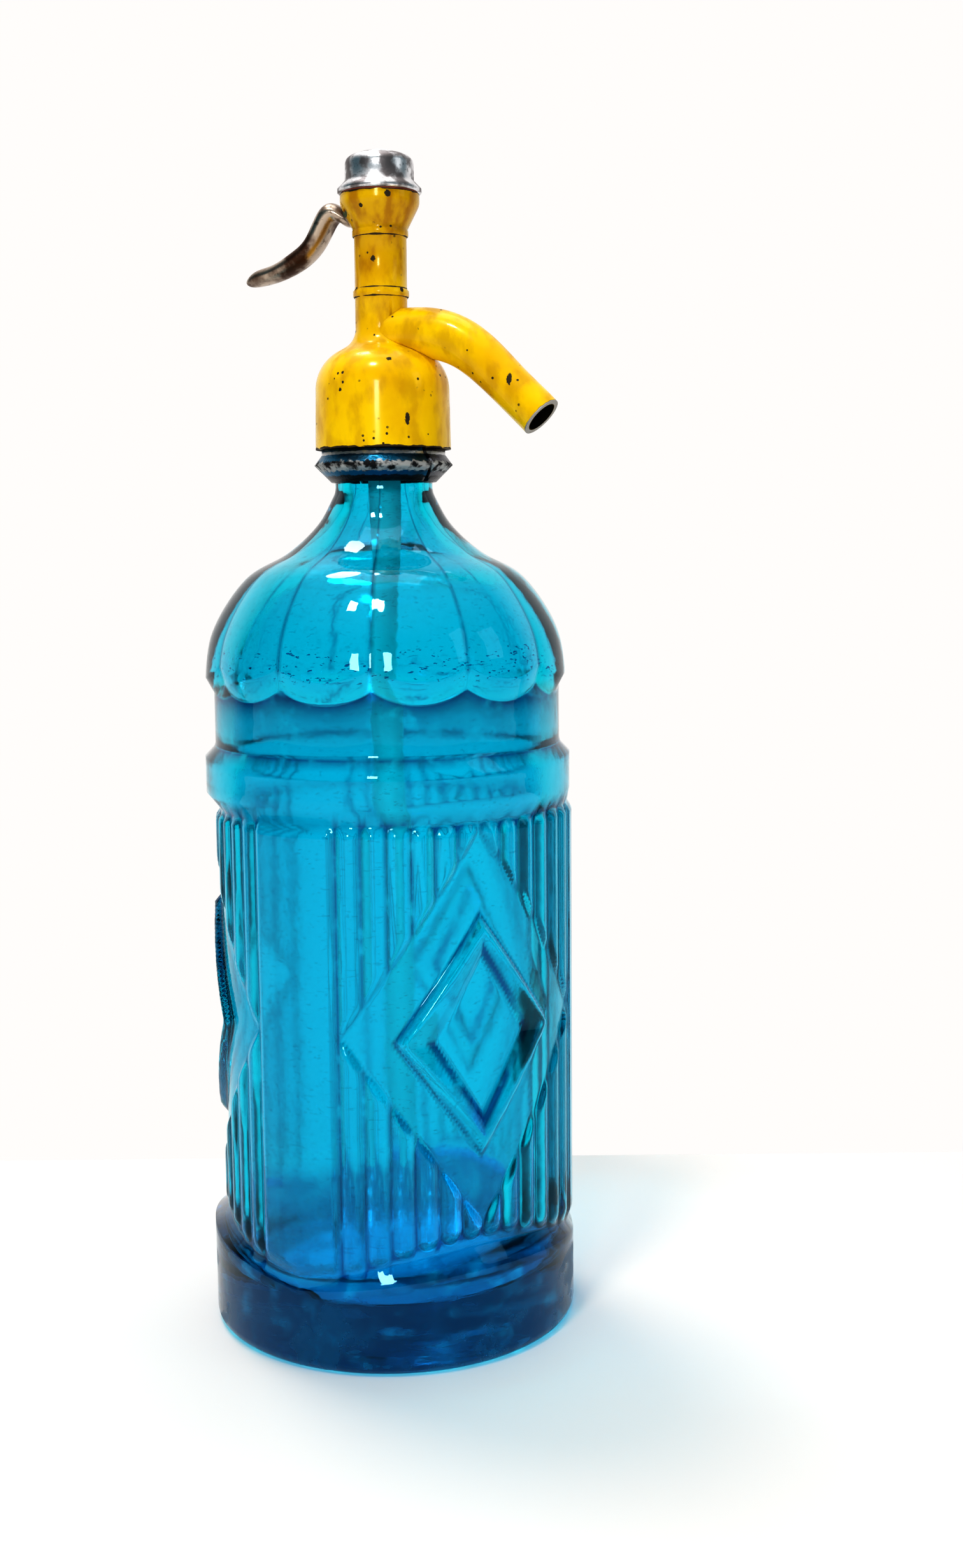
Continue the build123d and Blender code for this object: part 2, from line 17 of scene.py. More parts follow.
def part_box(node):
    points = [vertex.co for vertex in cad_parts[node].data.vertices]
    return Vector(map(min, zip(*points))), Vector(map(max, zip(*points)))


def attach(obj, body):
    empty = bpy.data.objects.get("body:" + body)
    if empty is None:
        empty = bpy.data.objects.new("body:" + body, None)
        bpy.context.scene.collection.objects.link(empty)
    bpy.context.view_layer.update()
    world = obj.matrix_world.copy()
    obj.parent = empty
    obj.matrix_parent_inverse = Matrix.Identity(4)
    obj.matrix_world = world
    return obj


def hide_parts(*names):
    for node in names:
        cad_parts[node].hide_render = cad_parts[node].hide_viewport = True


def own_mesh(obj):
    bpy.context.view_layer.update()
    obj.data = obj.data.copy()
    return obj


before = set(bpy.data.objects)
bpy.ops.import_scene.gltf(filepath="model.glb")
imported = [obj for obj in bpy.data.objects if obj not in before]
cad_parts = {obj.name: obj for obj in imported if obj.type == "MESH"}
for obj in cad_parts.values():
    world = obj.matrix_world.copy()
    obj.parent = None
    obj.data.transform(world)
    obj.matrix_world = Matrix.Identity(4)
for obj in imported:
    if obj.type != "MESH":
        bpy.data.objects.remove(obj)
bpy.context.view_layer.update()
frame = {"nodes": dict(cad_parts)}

MM = 0.001
LOG = logging.getLogger("siphon")

Array = np.ndarray
Material = bpy.types.Material
Object = bpy.types.Object
Socket = bpy.types.NodeSocket
Tree = bpy.types.NodeTree
Colour = tuple[float, float, float, float]
Triple = tuple[float, float, float]
Span = tuple[float, float]

# Distances in metres within which points are one point and an edge has no length
POINT_GAP = 1e-6
EDGE_GAP = 1e-7


class Body(Enum):
    """Bodies of the frame that pieces ride on."""

    SIPHON = "siphon"
    LEVER = "lever"
    PLUNGER = "plunger"


class Slot(Enum):
    """Material slots of the record."""

    BLUE_GLASS = "blue_glass"
    TUBE_GLASS = "tube_glass"
    RUBBER = "rubber"
    PEWTER = "pewter"
    ENAMEL = "yellow_enamel"
    BRASS = "brass"
    FIBRE = "fibre"
    SPRING = "spring_steel"
    CHROME = "chrome"
    NICKEL = "worn_nickel"


@dataclass(frozen=True)
class Look:
    """A material with the slot of the record that it takes its finish from."""

    material: Material
    slot: Slot


# ---- Meshes ----


def in_scene(name: str, data: bpy.types.ID) -> Object:
    """Puts a new object with this data in the scene."""
    made = bpy.data.objects.new(name, data)
    bpy.context.scene.collection.objects.link(made)
    return made


def mesh_object(name: str, verts: Array, faces: list[tuple[int, ...]]) -> Object:
    """Makes a smooth mesh object at the origin.

    Args:
        name: Name of the object and its mesh.
        verts: Points in millimetres, one row each.
        faces: Indices of each face's points.

    Returns:
        The new object, with its place in its mesh.
    """
    mesh = bpy.data.meshes.new(name)
    mesh.from_pydata((np.asarray(verts) * MM).tolist(), [], faces)
    mesh.shade_smooth()
    return in_scene(name, mesh)


def grid_faces(rows: int, columns: int) -> list[tuple[int, ...]]:
    """Quads of an open grid of points stored row by row.

    Args:
        rows: Number of rows of points.
        columns: Number of points in each row.

    Returns:
        The quads, each with its points in order.
    """
    starts = (i * columns + j for i in range(rows - 1) for j in range(columns - 1))
    return [(a, a + 1, a + columns + 1, a + columns) for a in starts]


def bake_tree(piece: Object, tree: Tree, **inputs: object) -> None:
    """Runs a geometry tree on a piece and keeps the result as its plain mesh.

    Args:
        piece: Object that the tree works on, which has no modifier left afterwards.
        tree: Geometry node tree with named inputs.
        inputs: Values by the inputs' names, with underscores for blanks.
    """
    modifier = piece.modifiers.new(tree.name, "NODES")
    modifier.node_group = tree
    for socket in tree.interface.items_tree:
        key = socket.name.lower().replace(" ", "_")
        if socket.in_out == "INPUT" and key in inputs:
            modifier[socket.identifier] = inputs[key]
    graph = bpy.context.evaluated_depsgraph_get()
    mesh = bpy.data.meshes.new_from_object(piece.evaluated_get(graph))
    piece.modifiers.clear()
    piece.data = mesh
    mesh.shade_smooth()


def clean_copy(node: str, name: str, angle: float = 32.0) -> Object:
    """Copies a CAD node as a welded piece with smooth faces and crisp edges.

    Args:
        node: Name of the CAD node.
        name: Name of the new piece.
        angle: Degrees above which an edge stays crisp.

    Returns:
        The new piece, which stands for the node.
    """
    mesh = frame["nodes"][node].data.copy()
    mesh.materials.clear()
    work = bmesh.new()
    work.from_mesh(mesh)
    bmesh.ops.remove_doubles(work, verts=work.verts, dist=POINT_GAP)
    bmesh.ops.dissolve_degenerate(work, edges=work.edges, dist=EDGE_GAP)
    work.to_mesh(mesh)
    work.free()
    piece = in_scene(name, mesh)
    mesh.shade_smooth()
    mesh.set_sharp_from_angle(angle=math.radians(angle))
    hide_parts(node)
    return piece


def dress(piece: Object, look: Look, body: Body = Body.SIPHON) -> None:
    """Gives a piece its material and body, and reports it.

    Args:
        piece: The finished piece.
        look: Material for all of its faces, with its slot.
        body: Body of the frame that it rides on.
    """
    piece.data.materials.clear()
    piece.data.materials.append(look.material)
    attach(piece, body.value)
    LOG.info("%s: %d faces on %s", piece.name, len(piece.data.polygons), body.value)


# ---- Nodes ----


class NodeMaker:
    """Builds the nodes of one tree; a node stands for its first output."""

    def __init__(self, tree: Tree) -> None:
        """Takes the tree."""
        self.tree = tree

    def fill(self, socket: Socket, value: object) -> None:
        """Links a socket or a node to an input, or sets the input's constant."""
        if isinstance(value, bpy.types.Node):
            value = value.outputs[0]
        if isinstance(value, Socket):
            self.tree.links.new(value, socket)
        else:
            socket.default_value = value

    def node(self, kind: str, links: dict | None = None, **settings: object) -> bpy.types.Node:
        """Adds a node.

        Args:
            kind: The node's type.
            links: Sockets, nodes or constants by the input's name or number.
            settings: Properties of the node.

        Returns:
            The new node.
        """
        made = self.tree.nodes.new(kind)
        for key, value in settings.items():
            setattr(made, key, value)
        for key, value in (links or {}).items():
            self.fill(made.inputs[key], value)
        return made

    def math(self, operation: str, first: object, second: object = 0.0, clamp: bool = False) -> Socket:
        """Output of a Math node."""
        links = {0: first, 1: second}
        return self.node("ShaderNodeMath", links, operation=operation, use_clamp=clamp).outputs[0]

    def times(self, first: object, second: object) -> Socket:
        """Product of two values."""
        return self.math("MULTIPLY", first, second)

    def plus(self, first: object, second: object) -> Socket:
        """Sum of two values."""
        return self.math("ADD", first, second)

    def vector(self, operation: str, first: object, second: object = (0.0, 0.0, 0.0)) -> Socket:
        """Output of a Vector Math node: a number for a length or a dot product, and a vector for others."""
        links = {0: first, "Scale" if operation == "SCALE" else 1: second}
        made = self.node("ShaderNodeVectorMath", links, operation=operation)
        return made.outputs["Value" if operation in ("LENGTH", "DOT_PRODUCT") else 0]

    def noise(self, vector: object, scale: object, detail: object = 3.0) -> Socket:
        """Value of a noise texture."""
        links = {"Vector": vector, "Scale": scale, "Detail": detail}
        return self.node("ShaderNodeTexNoise", links).outputs[0]

    def ramp(self, value: object, low: object, high: object) -> Socket:
        """Value eased from 0 at low to 1 at high."""
        links = {0: value, 1: low, 2: high}
        return self.node("ShaderNodeMapRange", links, interpolation_type="SMOOTHSTEP").outputs[0]

    def spread(self, value: object, start: float, end: float, low: float = 0.0, high: float = 1.0) -> Socket:
        """Value between low and high moved to between start and end."""
        return self.node("ShaderNodeMapRange", {0: value, 1: low, 2: high, 3: start, 4: end}).outputs[0]

    def blend(self, share: object, first: object, second: object) -> Socket:
        """Colour between two, by share."""
        return self.node("ShaderNodeMix", {0: share, 6: first, 7: second}, data_type="RGBA").outputs[2]


# ---- Node groups and geometry trees ----


class GroupMaker(NodeMaker):
    """Builds one node group with named inputs and one output."""

    shapes = {tuple: "Vector", float: "Float", int: "Int"}

    def __init__(self, name: str, output: str, shape: str, inputs: dict[str, object], kind: str) -> None:
        """Starts the group.

        Args:
            name: Name of the group.
            output: Name of its output.
            shape: The output's kind of socket.
            inputs: First values of its inputs, or the kinds of sockets that have none.
            kind: Type of its node tree.
        """
        super().__init__(bpy.data.node_groups.new(name, kind))
        sides = self.tree.interface
        for label, value in inputs.items():
            bare = isinstance(value, str)
            socket_type = f"NodeSocket{value if bare else self.shapes[type(value)]}"
            made = sides.new_socket(label.title(), in_out="INPUT", socket_type=socket_type)
            if not bare:
                made.default_value = value
        sides.new_socket(output, in_out="OUTPUT", socket_type=f"NodeSocket{shape}")
        self.given = self.node("NodeGroupInput").outputs
        self.leave = self.node("NodeGroupOutput").inputs[0]

    def finish(self, result: object) -> Tree:
        """Puts the result out and ends the group."""
        self.fill(self.leave, result)
        return self.tree


class TreeMaker(GroupMaker):
    """Builds one geometry tree, which takes and gives geometry and ends in a material."""

    def __init__(self, name: str, inputs: dict[str, object]) -> None:
        """Starts a tree with these inputs between its geometry and its material."""
        inputs = {"Geometry": "Geometry", **inputs, "Material": "Material"}
        super().__init__(name, "Geometry", "Geometry", inputs, "GeometryNodeTree")

    def finish(self, result: object) -> Tree:
        """Ends the tree in Realize Instances and Set Material."""
        real = self.node("GeometryNodeRealizeInstances", {"Geometry": result})
        links = {"Geometry": real, "Material": self.given["Material"]}
        return super().finish(self.node("GeometryNodeSetMaterial", links))


def sector_tree() -> Tree:
    """Tree that repeats one sector round Z, welds it and adds the slow waves of moulded glass.

    Returns:
        The tree, with the inputs Count, Weld, Wave Size, Wave Depth and Material.
    """
    make = TreeMaker("repeat_round_axis", {
        "Count": 3, "Weld": 0.00002, "Wave Size": 30.0, "Wave Depth": 0.0002})
    given = make.given
    points = make.node("GeometryNodePoints", {"Count": given["Count"]})
    step = make.math("DIVIDE", math.tau, given["Count"])
    turn = make.times(make.node("GeometryNodeInputIndex"), step)
    angles = make.node("ShaderNodeCombineXYZ", {"Z": turn})
    copies = make.node("GeometryNodeInstanceOnPoints", {
        "Points": points, "Instance": given["Geometry"], "Rotation": angles})
    real = make.node("GeometryNodeRealizeInstances", {"Geometry": copies})
    weld = make.node("GeometryNodeMergeByDistance", {"Geometry": real, "Distance": given["Weld"]})
    waves = make.node("ShaderNodeTexNoise", {"Scale": given["Wave Size"], "Detail": 1.0})
    depth = make.times(make.math("SUBTRACT", waves, 0.5), given["Wave Depth"])
    level = make.vector("MULTIPLY", make.node("GeometryNodeInputNormal"), (1.0, 1.0, 0.0))
    push = make.vector("SCALE", level, depth)
    return make.finish(make.node("GeometryNodeSetPosition", {"Geometry": weld, "Offset": push}))


def coil_tree() -> Tree:
    """Tree that makes a round-wire coil that stands on the origin.

    Returns:
        The tree, with the inputs Radius, Height, Turns, Wire, Lift and Material.
    """
    make = TreeMaker("wire_coil", dict.fromkeys(("Radius", "Height", "Turns", "Wire", "Lift"), 0.001))
    given = make.given
    line = make.node("GeometryNodeCurveSpiral", {
        "Resolution": 40, "Rotations": given["Turns"], "Start Radius": given["Radius"],
        "End Radius": given["Radius"], "Height": given["Height"]})
    section = make.node(
        "GeometryNodeCurvePrimitiveCircle", {"Resolution": 12, "Radius": given["Wire"]}, mode="RADIUS")
    wire = make.node("GeometryNodeCurveToMesh", {"Curve": line, "Profile Curve": section, "Fill Caps": True})
    lift = make.node("ShaderNodeCombineXYZ", {"Z": given["Lift"]})
    return make.finish(make.node("GeometryNodeTransform", {"Geometry": wire, "Translation": lift}))


# ---- Shared effects ----


def rgba(red: float, green: float, blue: float) -> Colour:
    """Opaque colour in scene-linear values."""
    return (red, green, blue, 1.0)


EVEN = (1.0, 1.0, 1.0)
ORIGIN = (0.0, 0.0, 0.0)


class Effect:
    """A shared effect, whose fields are the inputs of its shader group, with lengths in metres."""

    output = ("Mask", "Float")


@dataclass(frozen=True)
class Patches(Effect):
    """Soft-edged patches, for stains, dust and tarnish: a noise between two levels."""

    scale: float
    low: float
    high: float
    detail: float = 4.0
    stretch: Triple = EVEN

    @staticmethod
    def wire(group: GroupMaker) -> Socket:
        """Makes the group's nodes."""
        given = group.given
        at = group.vector("MULTIPLY", given["Place"], given["Stretch"])
        noise = group.noise(at, given["Scale"], given["Detail"])
        return group.ramp(noise, given["Low"], given["High"])


@dataclass(frozen=True)
class Chip(Effect):
    """One place where a coat has come off: 1 where it is gone and 0 outside it."""

    centre: Triple
    size: float
    stretch: Triple = EVEN
    ragged: float = 1.2
    core: float = 0.8
    grain: float = 1600.0

    @staticmethod
    def wire(group: GroupMaker) -> Socket:
        """Makes the group's nodes."""
        given = group.given
        away = group.vector("SUBTRACT", given["Place"], given["Centre"])
        distance = group.vector("LENGTH", group.vector("MULTIPLY", away, given["Stretch"]))
        uneven = group.math("SUBTRACT", group.noise(given["Place"], given["Grain"]), 0.5)
        reach = group.plus(distance, group.times(uneven, group.times(given["Size"], given["Ragged"])))
        outside = group.ramp(reach, group.times(given["Size"], given["Core"]), given["Size"])
        return group.math("SUBTRACT", 1.0, outside)


@dataclass(frozen=True)
class Band(Effect):
    """Ragged band round a value, such as a height: 1 on its middle and 0 outside it."""

    middle: float
    half: float
    ragged: float
    scale: float = 700.0
    core: float = 0.7
    value: float = 0.0

    @staticmethod
    def wire(group: GroupMaker) -> Socket:
        """Makes the group's nodes."""
        given = group.given
        away = group.math("ABSOLUTE", group.math("SUBTRACT", given["Value"], given["Middle"]))
        uneven = group.math("SUBTRACT", group.noise(given["Place"], given["Scale"], 4.0), 0.5)
        reach = group.plus(away, group.times(uneven, given["Ragged"]))
        outside = group.ramp(reach, group.times(given["Half"], given["Core"]), given["Half"])
        return group.math("SUBTRACT", 1.0, outside)


@dataclass(frozen=True)
class Grain(Effect):
    """Fine unevenness of a cast, worn or moulded face, as a normal."""

    scale: float
    strength: float
    depth: float = 0.0002
    output = ("Normal", "Vector")

    @staticmethod
    def wire(group: GroupMaker) -> Socket:
        """Makes the group's nodes."""
        given = group.given
        noise = group.noise(given["Place"], given["Scale"])
        links = {"Strength": given["Strength"], "Distance": given["Depth"], "Height": noise}
        return group.node("ShaderNodeBump", links).outputs[0]


@cache
def effect_group(kind: type) -> Tree:
    """Shader group of a kind of effect, built when it is first asked for."""
    inputs = {one.name: ORIGIN if one.type == "Triple" else 0.0 for one in fields(kind)}
    group = GroupMaker(kind.__name__.lower(), *kind.output, {"place": ORIGIN, **inputs}, "ShaderNodeTree")
    return group.finish(kind.wire(group))


class Coat(NodeMaker):
    """One material under construction."""

    def __init__(self, name: str) -> None:
        """Starts a material with its Principled shader and its object coordinates."""
        self.material = bpy.data.materials.new(name)
        self.material.use_nodes = True
        super().__init__(self.material.node_tree)
        self.shader = self.tree.nodes["Principled BSDF"]
        self.place = self.node("ShaderNodeTexCoord").outputs["Object"]

    def height(self) -> Socket:
        """Height of the surface, in metres."""
        return self.node("ShaderNodeSeparateXYZ", {0: self.place}).outputs[2]

    def over(self, value: Socket, span: Span) -> Socket:
        """Value eased from 0 to 1 over a span in millimetres."""
        return self.ramp(value, span[0] * MM, span[1] * MM)

    def mark(self, name: str) -> Socket:
        """Value of a mesh attribute."""
        return self.node("ShaderNodeAttribute", attribute_name=name).outputs["Fac"]

    def put(self, look: Effect, **values: object) -> Socket:
        """Places a shared effect.

        Args:
            look: The effect with its values.
            values: Sockets that stand in for values of the same names.

        Returns:
            The effect's output.
        """
        given = {"place": self.place, **vars(look), **values}
        links = {name.title(): value for name, value in given.items()}
        return self.node("ShaderNodeGroup", links, node_tree=effect_group(type(look))).outputs[0]

    def finish(self, links: dict[str, object]) -> Material:
        """Fills inputs of the Principled shader and ends the material."""
        for name, value in links.items():
            self.fill(self.shader.inputs[name], value)
        return self.material


# ---- Finishes ----


@dataclass(frozen=True)
class GlassFinish:
    """Moulded or drawn glass: clear faces round a body that absorbs light; its spans in millimetres."""

    name: str
    tint: Colour
    thin_tint: Colour
    absorb: Colour
    density: float
    shadow: Colour = rgba(0.85, 0.95, 0.98)
    # The deep colour is painted shade in the creases and the colour of the seeds; the bright colour is a
    # painted highlight on the edges
    deep: Colour = rgba(0.3, 0.5, 0.5)
    bright: Colour = rgba(0.5, 1.0, 1.0)
    scuff: Colour = rgba(0.3, 0.4, 0.55)
    sheen: Colour = rgba(0.35, 0.75, 1.0)
    transmission: float = 1.0
    ior: float = 1.5
    # Heights over which the wall gets thin and the scuffed foot begins
    thin: Span = (162.0, 190.0)
    foot: Span = (23.0, 18.0)
    # Painted shade in the creases, in patches, painted highlights on the edges, seeds and scuffs
    grime: Patches = Patches(140.0, 0.2, 0.5)
    gleam: float = 0.8
    seeds: Patches = Patches(520.0, 0.625, 0.67, stretch=(1.0, 1.0, 2.5))
    seed_row: Band = Band(0.1845, 0.0045, 0.003, 60.0)
    seed_share: float = 0.3
    scuffs: Patches = Patches(70.0, 0.5, 0.66, 8.0)
    scuff_share: float = 0.5
    scuff_haze: float = 0.8
    # Roughness, and the uneven faces
    roughness: float = 0.02
    rough_gain: float = 3.0
    dirt: Span = (0.45, 0.75)
    dirt_scale: float = 450.0
    dirt_detail: float = 5.0
    inner_haze: float = 0.13
    waves: Grain = Grain(90.0, 0.35, 0.0004)

    def colour(self, coat: Coat, scuffed: Socket) -> Socket:
        """Base colour, with painted shade in its creases, painted highlights on its edges, seeds and scuffs.
        """
        height, crease = coat.height(), coat.mark("crease")
        # Painted shade in the creases, in patches
        painted_shade = coat.math("MULTIPLY", crease, coat.put(self.grime), True)
        row = coat.times(coat.put(self.seed_row, value=height), 1 - self.seed_share)
        seeds = coat.times(coat.put(self.seeds), coat.plus(row, self.seed_share))
        clear = coat.blend(coat.over(height, self.thin), self.tint, self.thin_tint)
        body = coat.blend(coat.math("MAXIMUM", painted_shade, seeds), clear, self.deep)
        # Painted highlights where the crease mark is below 0
        body = coat.blend(coat.math("MULTIPLY", crease, -self.gleam, True), body, self.bright)
        return coat.blend(scuffed, body, self.scuff)

    def haze(self, coat: Coat, scuffed: Socket) -> Socket:
        """Roughness, higher on dirt, on scuffs and inside."""
        dirt = coat.noise(coat.place, self.dirt_scale, self.dirt_detail)
        rough = coat.spread(dirt, self.roughness, self.roughness * self.rough_gain, *self.dirt)
        worn = coat.plus(rough, coat.times(scuffed, self.scuff_haze))
        return coat.plus(coat.times(coat.mark("inner"), self.inner_haze), worn)

    def build(self) -> Material:
        """Makes the material."""
        coat = Coat(self.name)
        foot = coat.times(coat.over(coat.height(), self.foot), self.scuff_share)
        scuffed = coat.times(coat.put(self.scuffs), foot)
        leave = coat.tree.nodes["Material Output"].inputs
        fog = coat.node("ShaderNodeVolumeAbsorption", {"Color": self.absorb, "Density": self.density})
        coat.fill(leave["Volume"], fog)
        shade = coat.node("ShaderNodeBsdfTransparent", {"Color": self.shadow})
        shadow_ray = coat.node("ShaderNodeLightPath").outputs["Is Shadow Ray"]
        mix = coat.node("ShaderNodeMixShader", {0: shadow_ray, 1: coat.shader, 2: shade})
        coat.fill(leave["Surface"], mix)
        return coat.finish({
            "Base Color": self.colour(coat, scuffed), "Transmission Weight": self.transmission,
            "IOR": self.ior, "Roughness": self.haze(coat, scuffed), "Specular Tint": self.sheen,
            "Normal": coat.put(self.waves)})


@dataclass(frozen=True)
class MetalFinish:
    """Bare or plated metal, with a duller second tone in patches and pits."""

    name: str
    bright: Colour
    dull: Colour
    polished: float
    tarnished: float
    patches: Patches = Patches(160.0, 0.45, 0.7, 6.0)
    pits: Span = (0.58, 0.66)
    pitted: float = 0.5
    grain: float = 0.15
    # Scales of the pits and the grain, as multiples of the patches' scale
    pit_scale: float = 5.0
    grain_scale: float = 8.0

    def build(self) -> Material:
        """Makes the material."""
        coat = Coat(self.name)
        scale = self.patches.scale
        patches = coat.put(self.patches)
        pits = coat.put(Patches(scale * self.pit_scale, *self.pits))
        tone = coat.blend(patches, self.bright, self.dull)
        return coat.finish({
            "Base Color": coat.blend(coat.times(pits, self.pitted), tone, self.dull), "Metallic": 1.0,
            "Roughness": coat.spread(patches, self.polished, self.tarnished),
            "Normal": coat.put(Grain(scale * self.grain_scale, self.grain))})


@dataclass(frozen=True)
class CollarFinish:
    """Cast collar: tarnished bevel, which on the front half is a painted reflection of the blue glass, rough
    bright edge, and a skirt painted dark as shade.
    """

    name: str
    bevel: Colour
    light: Colour = rgba(0.5, 0.5, 0.49)
    dark: Colour = rgba(0.02, 0.02, 0.022)
    mottle: Patches = Patches(420.0, 0.42, 0.6, 6.0)
    smears: Patches = Patches(90.0, 0.45, 0.62)
    smear_share: float = 0.7
    edge: Band = Band(0.2359, 0.0015, 0.0022)
    ridge: Band = Band(0.2394, 0.00045, 0.0006)
    # Painted shade on the skirt's underside
    skirt: Band = Band(0.2326, 0.0011, 0.0012)
    metallic: float = 0.85
    rough: Span = (0.3, 0.6)
    grain: Grain = Grain(1300.0, 0.5)

    def build(self) -> Material:
        """Makes the material."""
        coat = Coat(self.name)
        height = coat.height()
        rough_metal = coat.blend(coat.put(self.mottle), self.light, self.dark)
        smeared = coat.times(coat.put(self.smears), self.smear_share)
        edge = coat.put(self.edge, value=height)
        # The bevel's colour, which on the front half is a painted reflection of the blue glass
        tone = coat.blend(edge, coat.blend(smeared, self.bevel, self.dark), rough_metal)
        tone = coat.blend(coat.put(self.ridge, value=height), tone, self.light)
        # Painted shade on the skirt
        tone = coat.blend(coat.put(self.skirt, value=height), tone, self.dark)
        return coat.finish({
            "Base Color": tone, "Metallic": self.metallic,
            "Roughness": coat.spread(edge, *self.rough),
            "Normal": coat.put(self.grain)})


@dataclass(frozen=True)
class EnamelFinish:
    """Glossy enamel on metal, stained, speckled and chipped; its own lengths in millimetres."""

    name: str
    colour: Colour
    shade: Colour
    stain: Colour
    metal: Colour
    chips: tuple[Chip, ...]
    lines: tuple[Span, ...]
    aged: Colour = rgba(0.5, 0.24, 0.002)
    sheen: Colour = rgba(1.0, 0.8, 0.25)
    rim: Colour = rgba(0.42, 0.42, 0.45)
    # Painted shade inside the spout's bore
    bore: Colour = rgba(0.004, 0.004, 0.004)
    tones: Patches = Patches(55.0, 0.35, 0.7)
    # The cup is darker, and stains that run down are heavier high up
    aged_h: Span = (279.0, 289.0)
    aged_share: float = 0.45
    runs: Patches = Patches(230.0, 0.44, 0.66, 9.0, (1.0, 1.0, 0.5))
    high_h: Span = (262.0, 300.0)
    low_share: float = 0.4
    high_share: float = 0.45
    # Specks, chips and dark lines
    speck_scale: float = 420.0
    speck_size: float = 0.15
    sown: Patches = Patches(150.0, 0.5, 0.6)
    line_ragged: float = 5.0
    line_scale: float = 260.0
    # The spout's mouth, the fall of its axis in degrees, its bare rim and its bore, which is painted dark as
    # shade
    mouth: Triple = (46.2, 0.0, 247.8)
    mouth_fall: float = 43.8
    rim_band: Band = Band(0.0004, 0.0008, 0.0006)
    bore_r: float = 4.45
    bore_h: Span = (-20.0, -18.0)
    # Gloss and steps
    gloss: Span = (0.2, 0.42)
    bare_rough: float = 0.6
    rim_metallic: float = 0.8
    coat_weight: float = 0.2
    coat_rough: float = 0.08
    specular: float = 0.3
    step: float = 0.2
    step_strength: float = 0.6

    def mouth_masks(self, coat: Coat) -> tuple[Socket, Socket]:
        """Masks of the spout's bare rim and of its bore, which is painted dark as shade."""
        fall = math.radians(self.mouth_fall)
        axis = (math.cos(fall), 0.0, -math.sin(fall))
        away = coat.vector("SUBTRACT", coat.place, tuple(value * MM for value in self.mouth))
        along = coat.vector("DOT_PRODUCT", away, axis)
        across = coat.vector("SUBTRACT", away, coat.vector("SCALE", axis, along))
        radius = coat.vector("LENGTH", across)
        bore = coat.times(
            coat.over(along, self.bore_h), coat.math("LESS_THAN", radius, self.bore_r * MM))
        return coat.put(self.rim_band, value=along), bore

    def bare_mask(self, coat: Coat, height: Socket) -> Socket:
        """Mask of the specks, the chips and the dark lines."""
        dots = coat.node("ShaderNodeTexVoronoi", {"Vector": coat.place, "Scale": self.speck_scale})
        specks = coat.math("LESS_THAN", dots.outputs["Distance"], self.speck_size)
        bare = coat.times(coat.put(self.sown), specks)
        for chip in self.chips:
            bare = coat.math("MAXIMUM", bare, coat.put(chip))
        for middle, half in self.lines:
            line = Band(middle * MM, half * MM, half * MM * self.line_ragged, self.line_scale)
            bare = coat.math("MAXIMUM", bare, coat.put(line, value=height))
        return bare

    def build(self) -> Material:
        """Makes the material."""
        coat = Coat(self.name)
        height = coat.height()
        runs = coat.put(self.runs)
        high_up = coat.times(coat.over(height, self.high_h), self.high_share)
        dirt = coat.times(runs, coat.plus(high_up, self.low_share))
        aged = coat.times(coat.over(height, self.aged_h), self.aged_share)
        tone = coat.blend(coat.put(self.tones), self.colour, self.shade)
        tone = coat.blend(aged, tone, self.aged)
        tone = coat.blend(dirt, tone, self.stain)
        rim, bore = self.mouth_masks(coat)
        # The bore is painted dark as shade
        metal = coat.blend(bore, coat.blend(rim, self.metal, self.rim), self.bore)
        bare = coat.math("MAXIMUM", self.bare_mask(coat, height), coat.math("MAXIMUM", rim, bore))
        gloss = coat.spread(runs, *self.gloss)
        step = coat.node("ShaderNodeBump", {
            "Strength": self.step_strength, "Distance": self.step * MM, "Height": coat.times(bare, -1.0)})
        return coat.finish({
            "Base Color": coat.blend(bare, tone, metal), "Metallic": coat.times(rim, self.rim_metallic),
            "Roughness": coat.math("MAXIMUM", gloss, coat.times(bare, self.bare_rough)),
            "Specular IOR Level": self.specular, "Specular Tint": self.sheen,
            "Coat Weight": coat.times(coat.math("SUBTRACT", 1.0, bare), self.coat_weight),
            "Coat Roughness": self.coat_rough, "Normal": step})


# Chips that show on the cup, the column, the rings, the bell and the spout
ENAMEL_CHIPS = (
    Chip((0.0066, -0.0083, 0.3061), 0.0009), Chip((-0.0006, -0.0099, 0.3034), 0.0006),
    Chip((0.0012, -0.0069, 0.2901), 0.0008), Chip((-0.0047, -0.0054, 0.2828), 0.0007),
    Chip((0.0072, -0.0019, 0.2824), 0.0007), Chip((0.0087, -0.0131, 0.2634), 0.0007),
    Chip((-0.0029, -0.0172, 0.26), 0.00045), Chip((-0.0026, -0.0178, 0.2575), 0.0004),
    Chip((-0.0035, -0.0177, 0.2556), 0.0005), Chip((0.0134, -0.0123, 0.2479), 0.00075, (1.0, 1.0, 0.45)),
    Chip((0.0393, -0.0051, 0.2575), 0.0009, (1.3, 0.45, 0.5)),
)
# Heights and half-widths, in millimetres, of the dark lines at the cup's rim, the rings and the bell's rim
ENAMEL_LINES = ((307.5, 0.3), (296.4, 0.16), (283.0, 0.12), (280.7, 0.16), (240.8, 0.3))


@dataclass(frozen=True)
class SoftFinish:
    """Rubber or fibre."""

    name: str
    colour: Colour
    dusty: Colour
    dust: Patches = Patches(300.0, 0.4, 0.8, 5.0)
    roughness: float = 0.7

    def build(self) -> Material:
        """Makes the material."""
        coat = Coat(self.name)
        tone = coat.blend(coat.put(self.dust), self.colour, self.dusty)
        return coat.finish({"Base Color": tone, "Roughness": self.roughness})


# ---- The bottle ----


def tent(value: Array, middle: float, half: float, top: float = 1.0) -> Array:
    """Mark that falls off on both sides of its middle, cut off at 0 and 1."""
    return np.clip(top - np.abs(value - middle) / half, 0, 1)


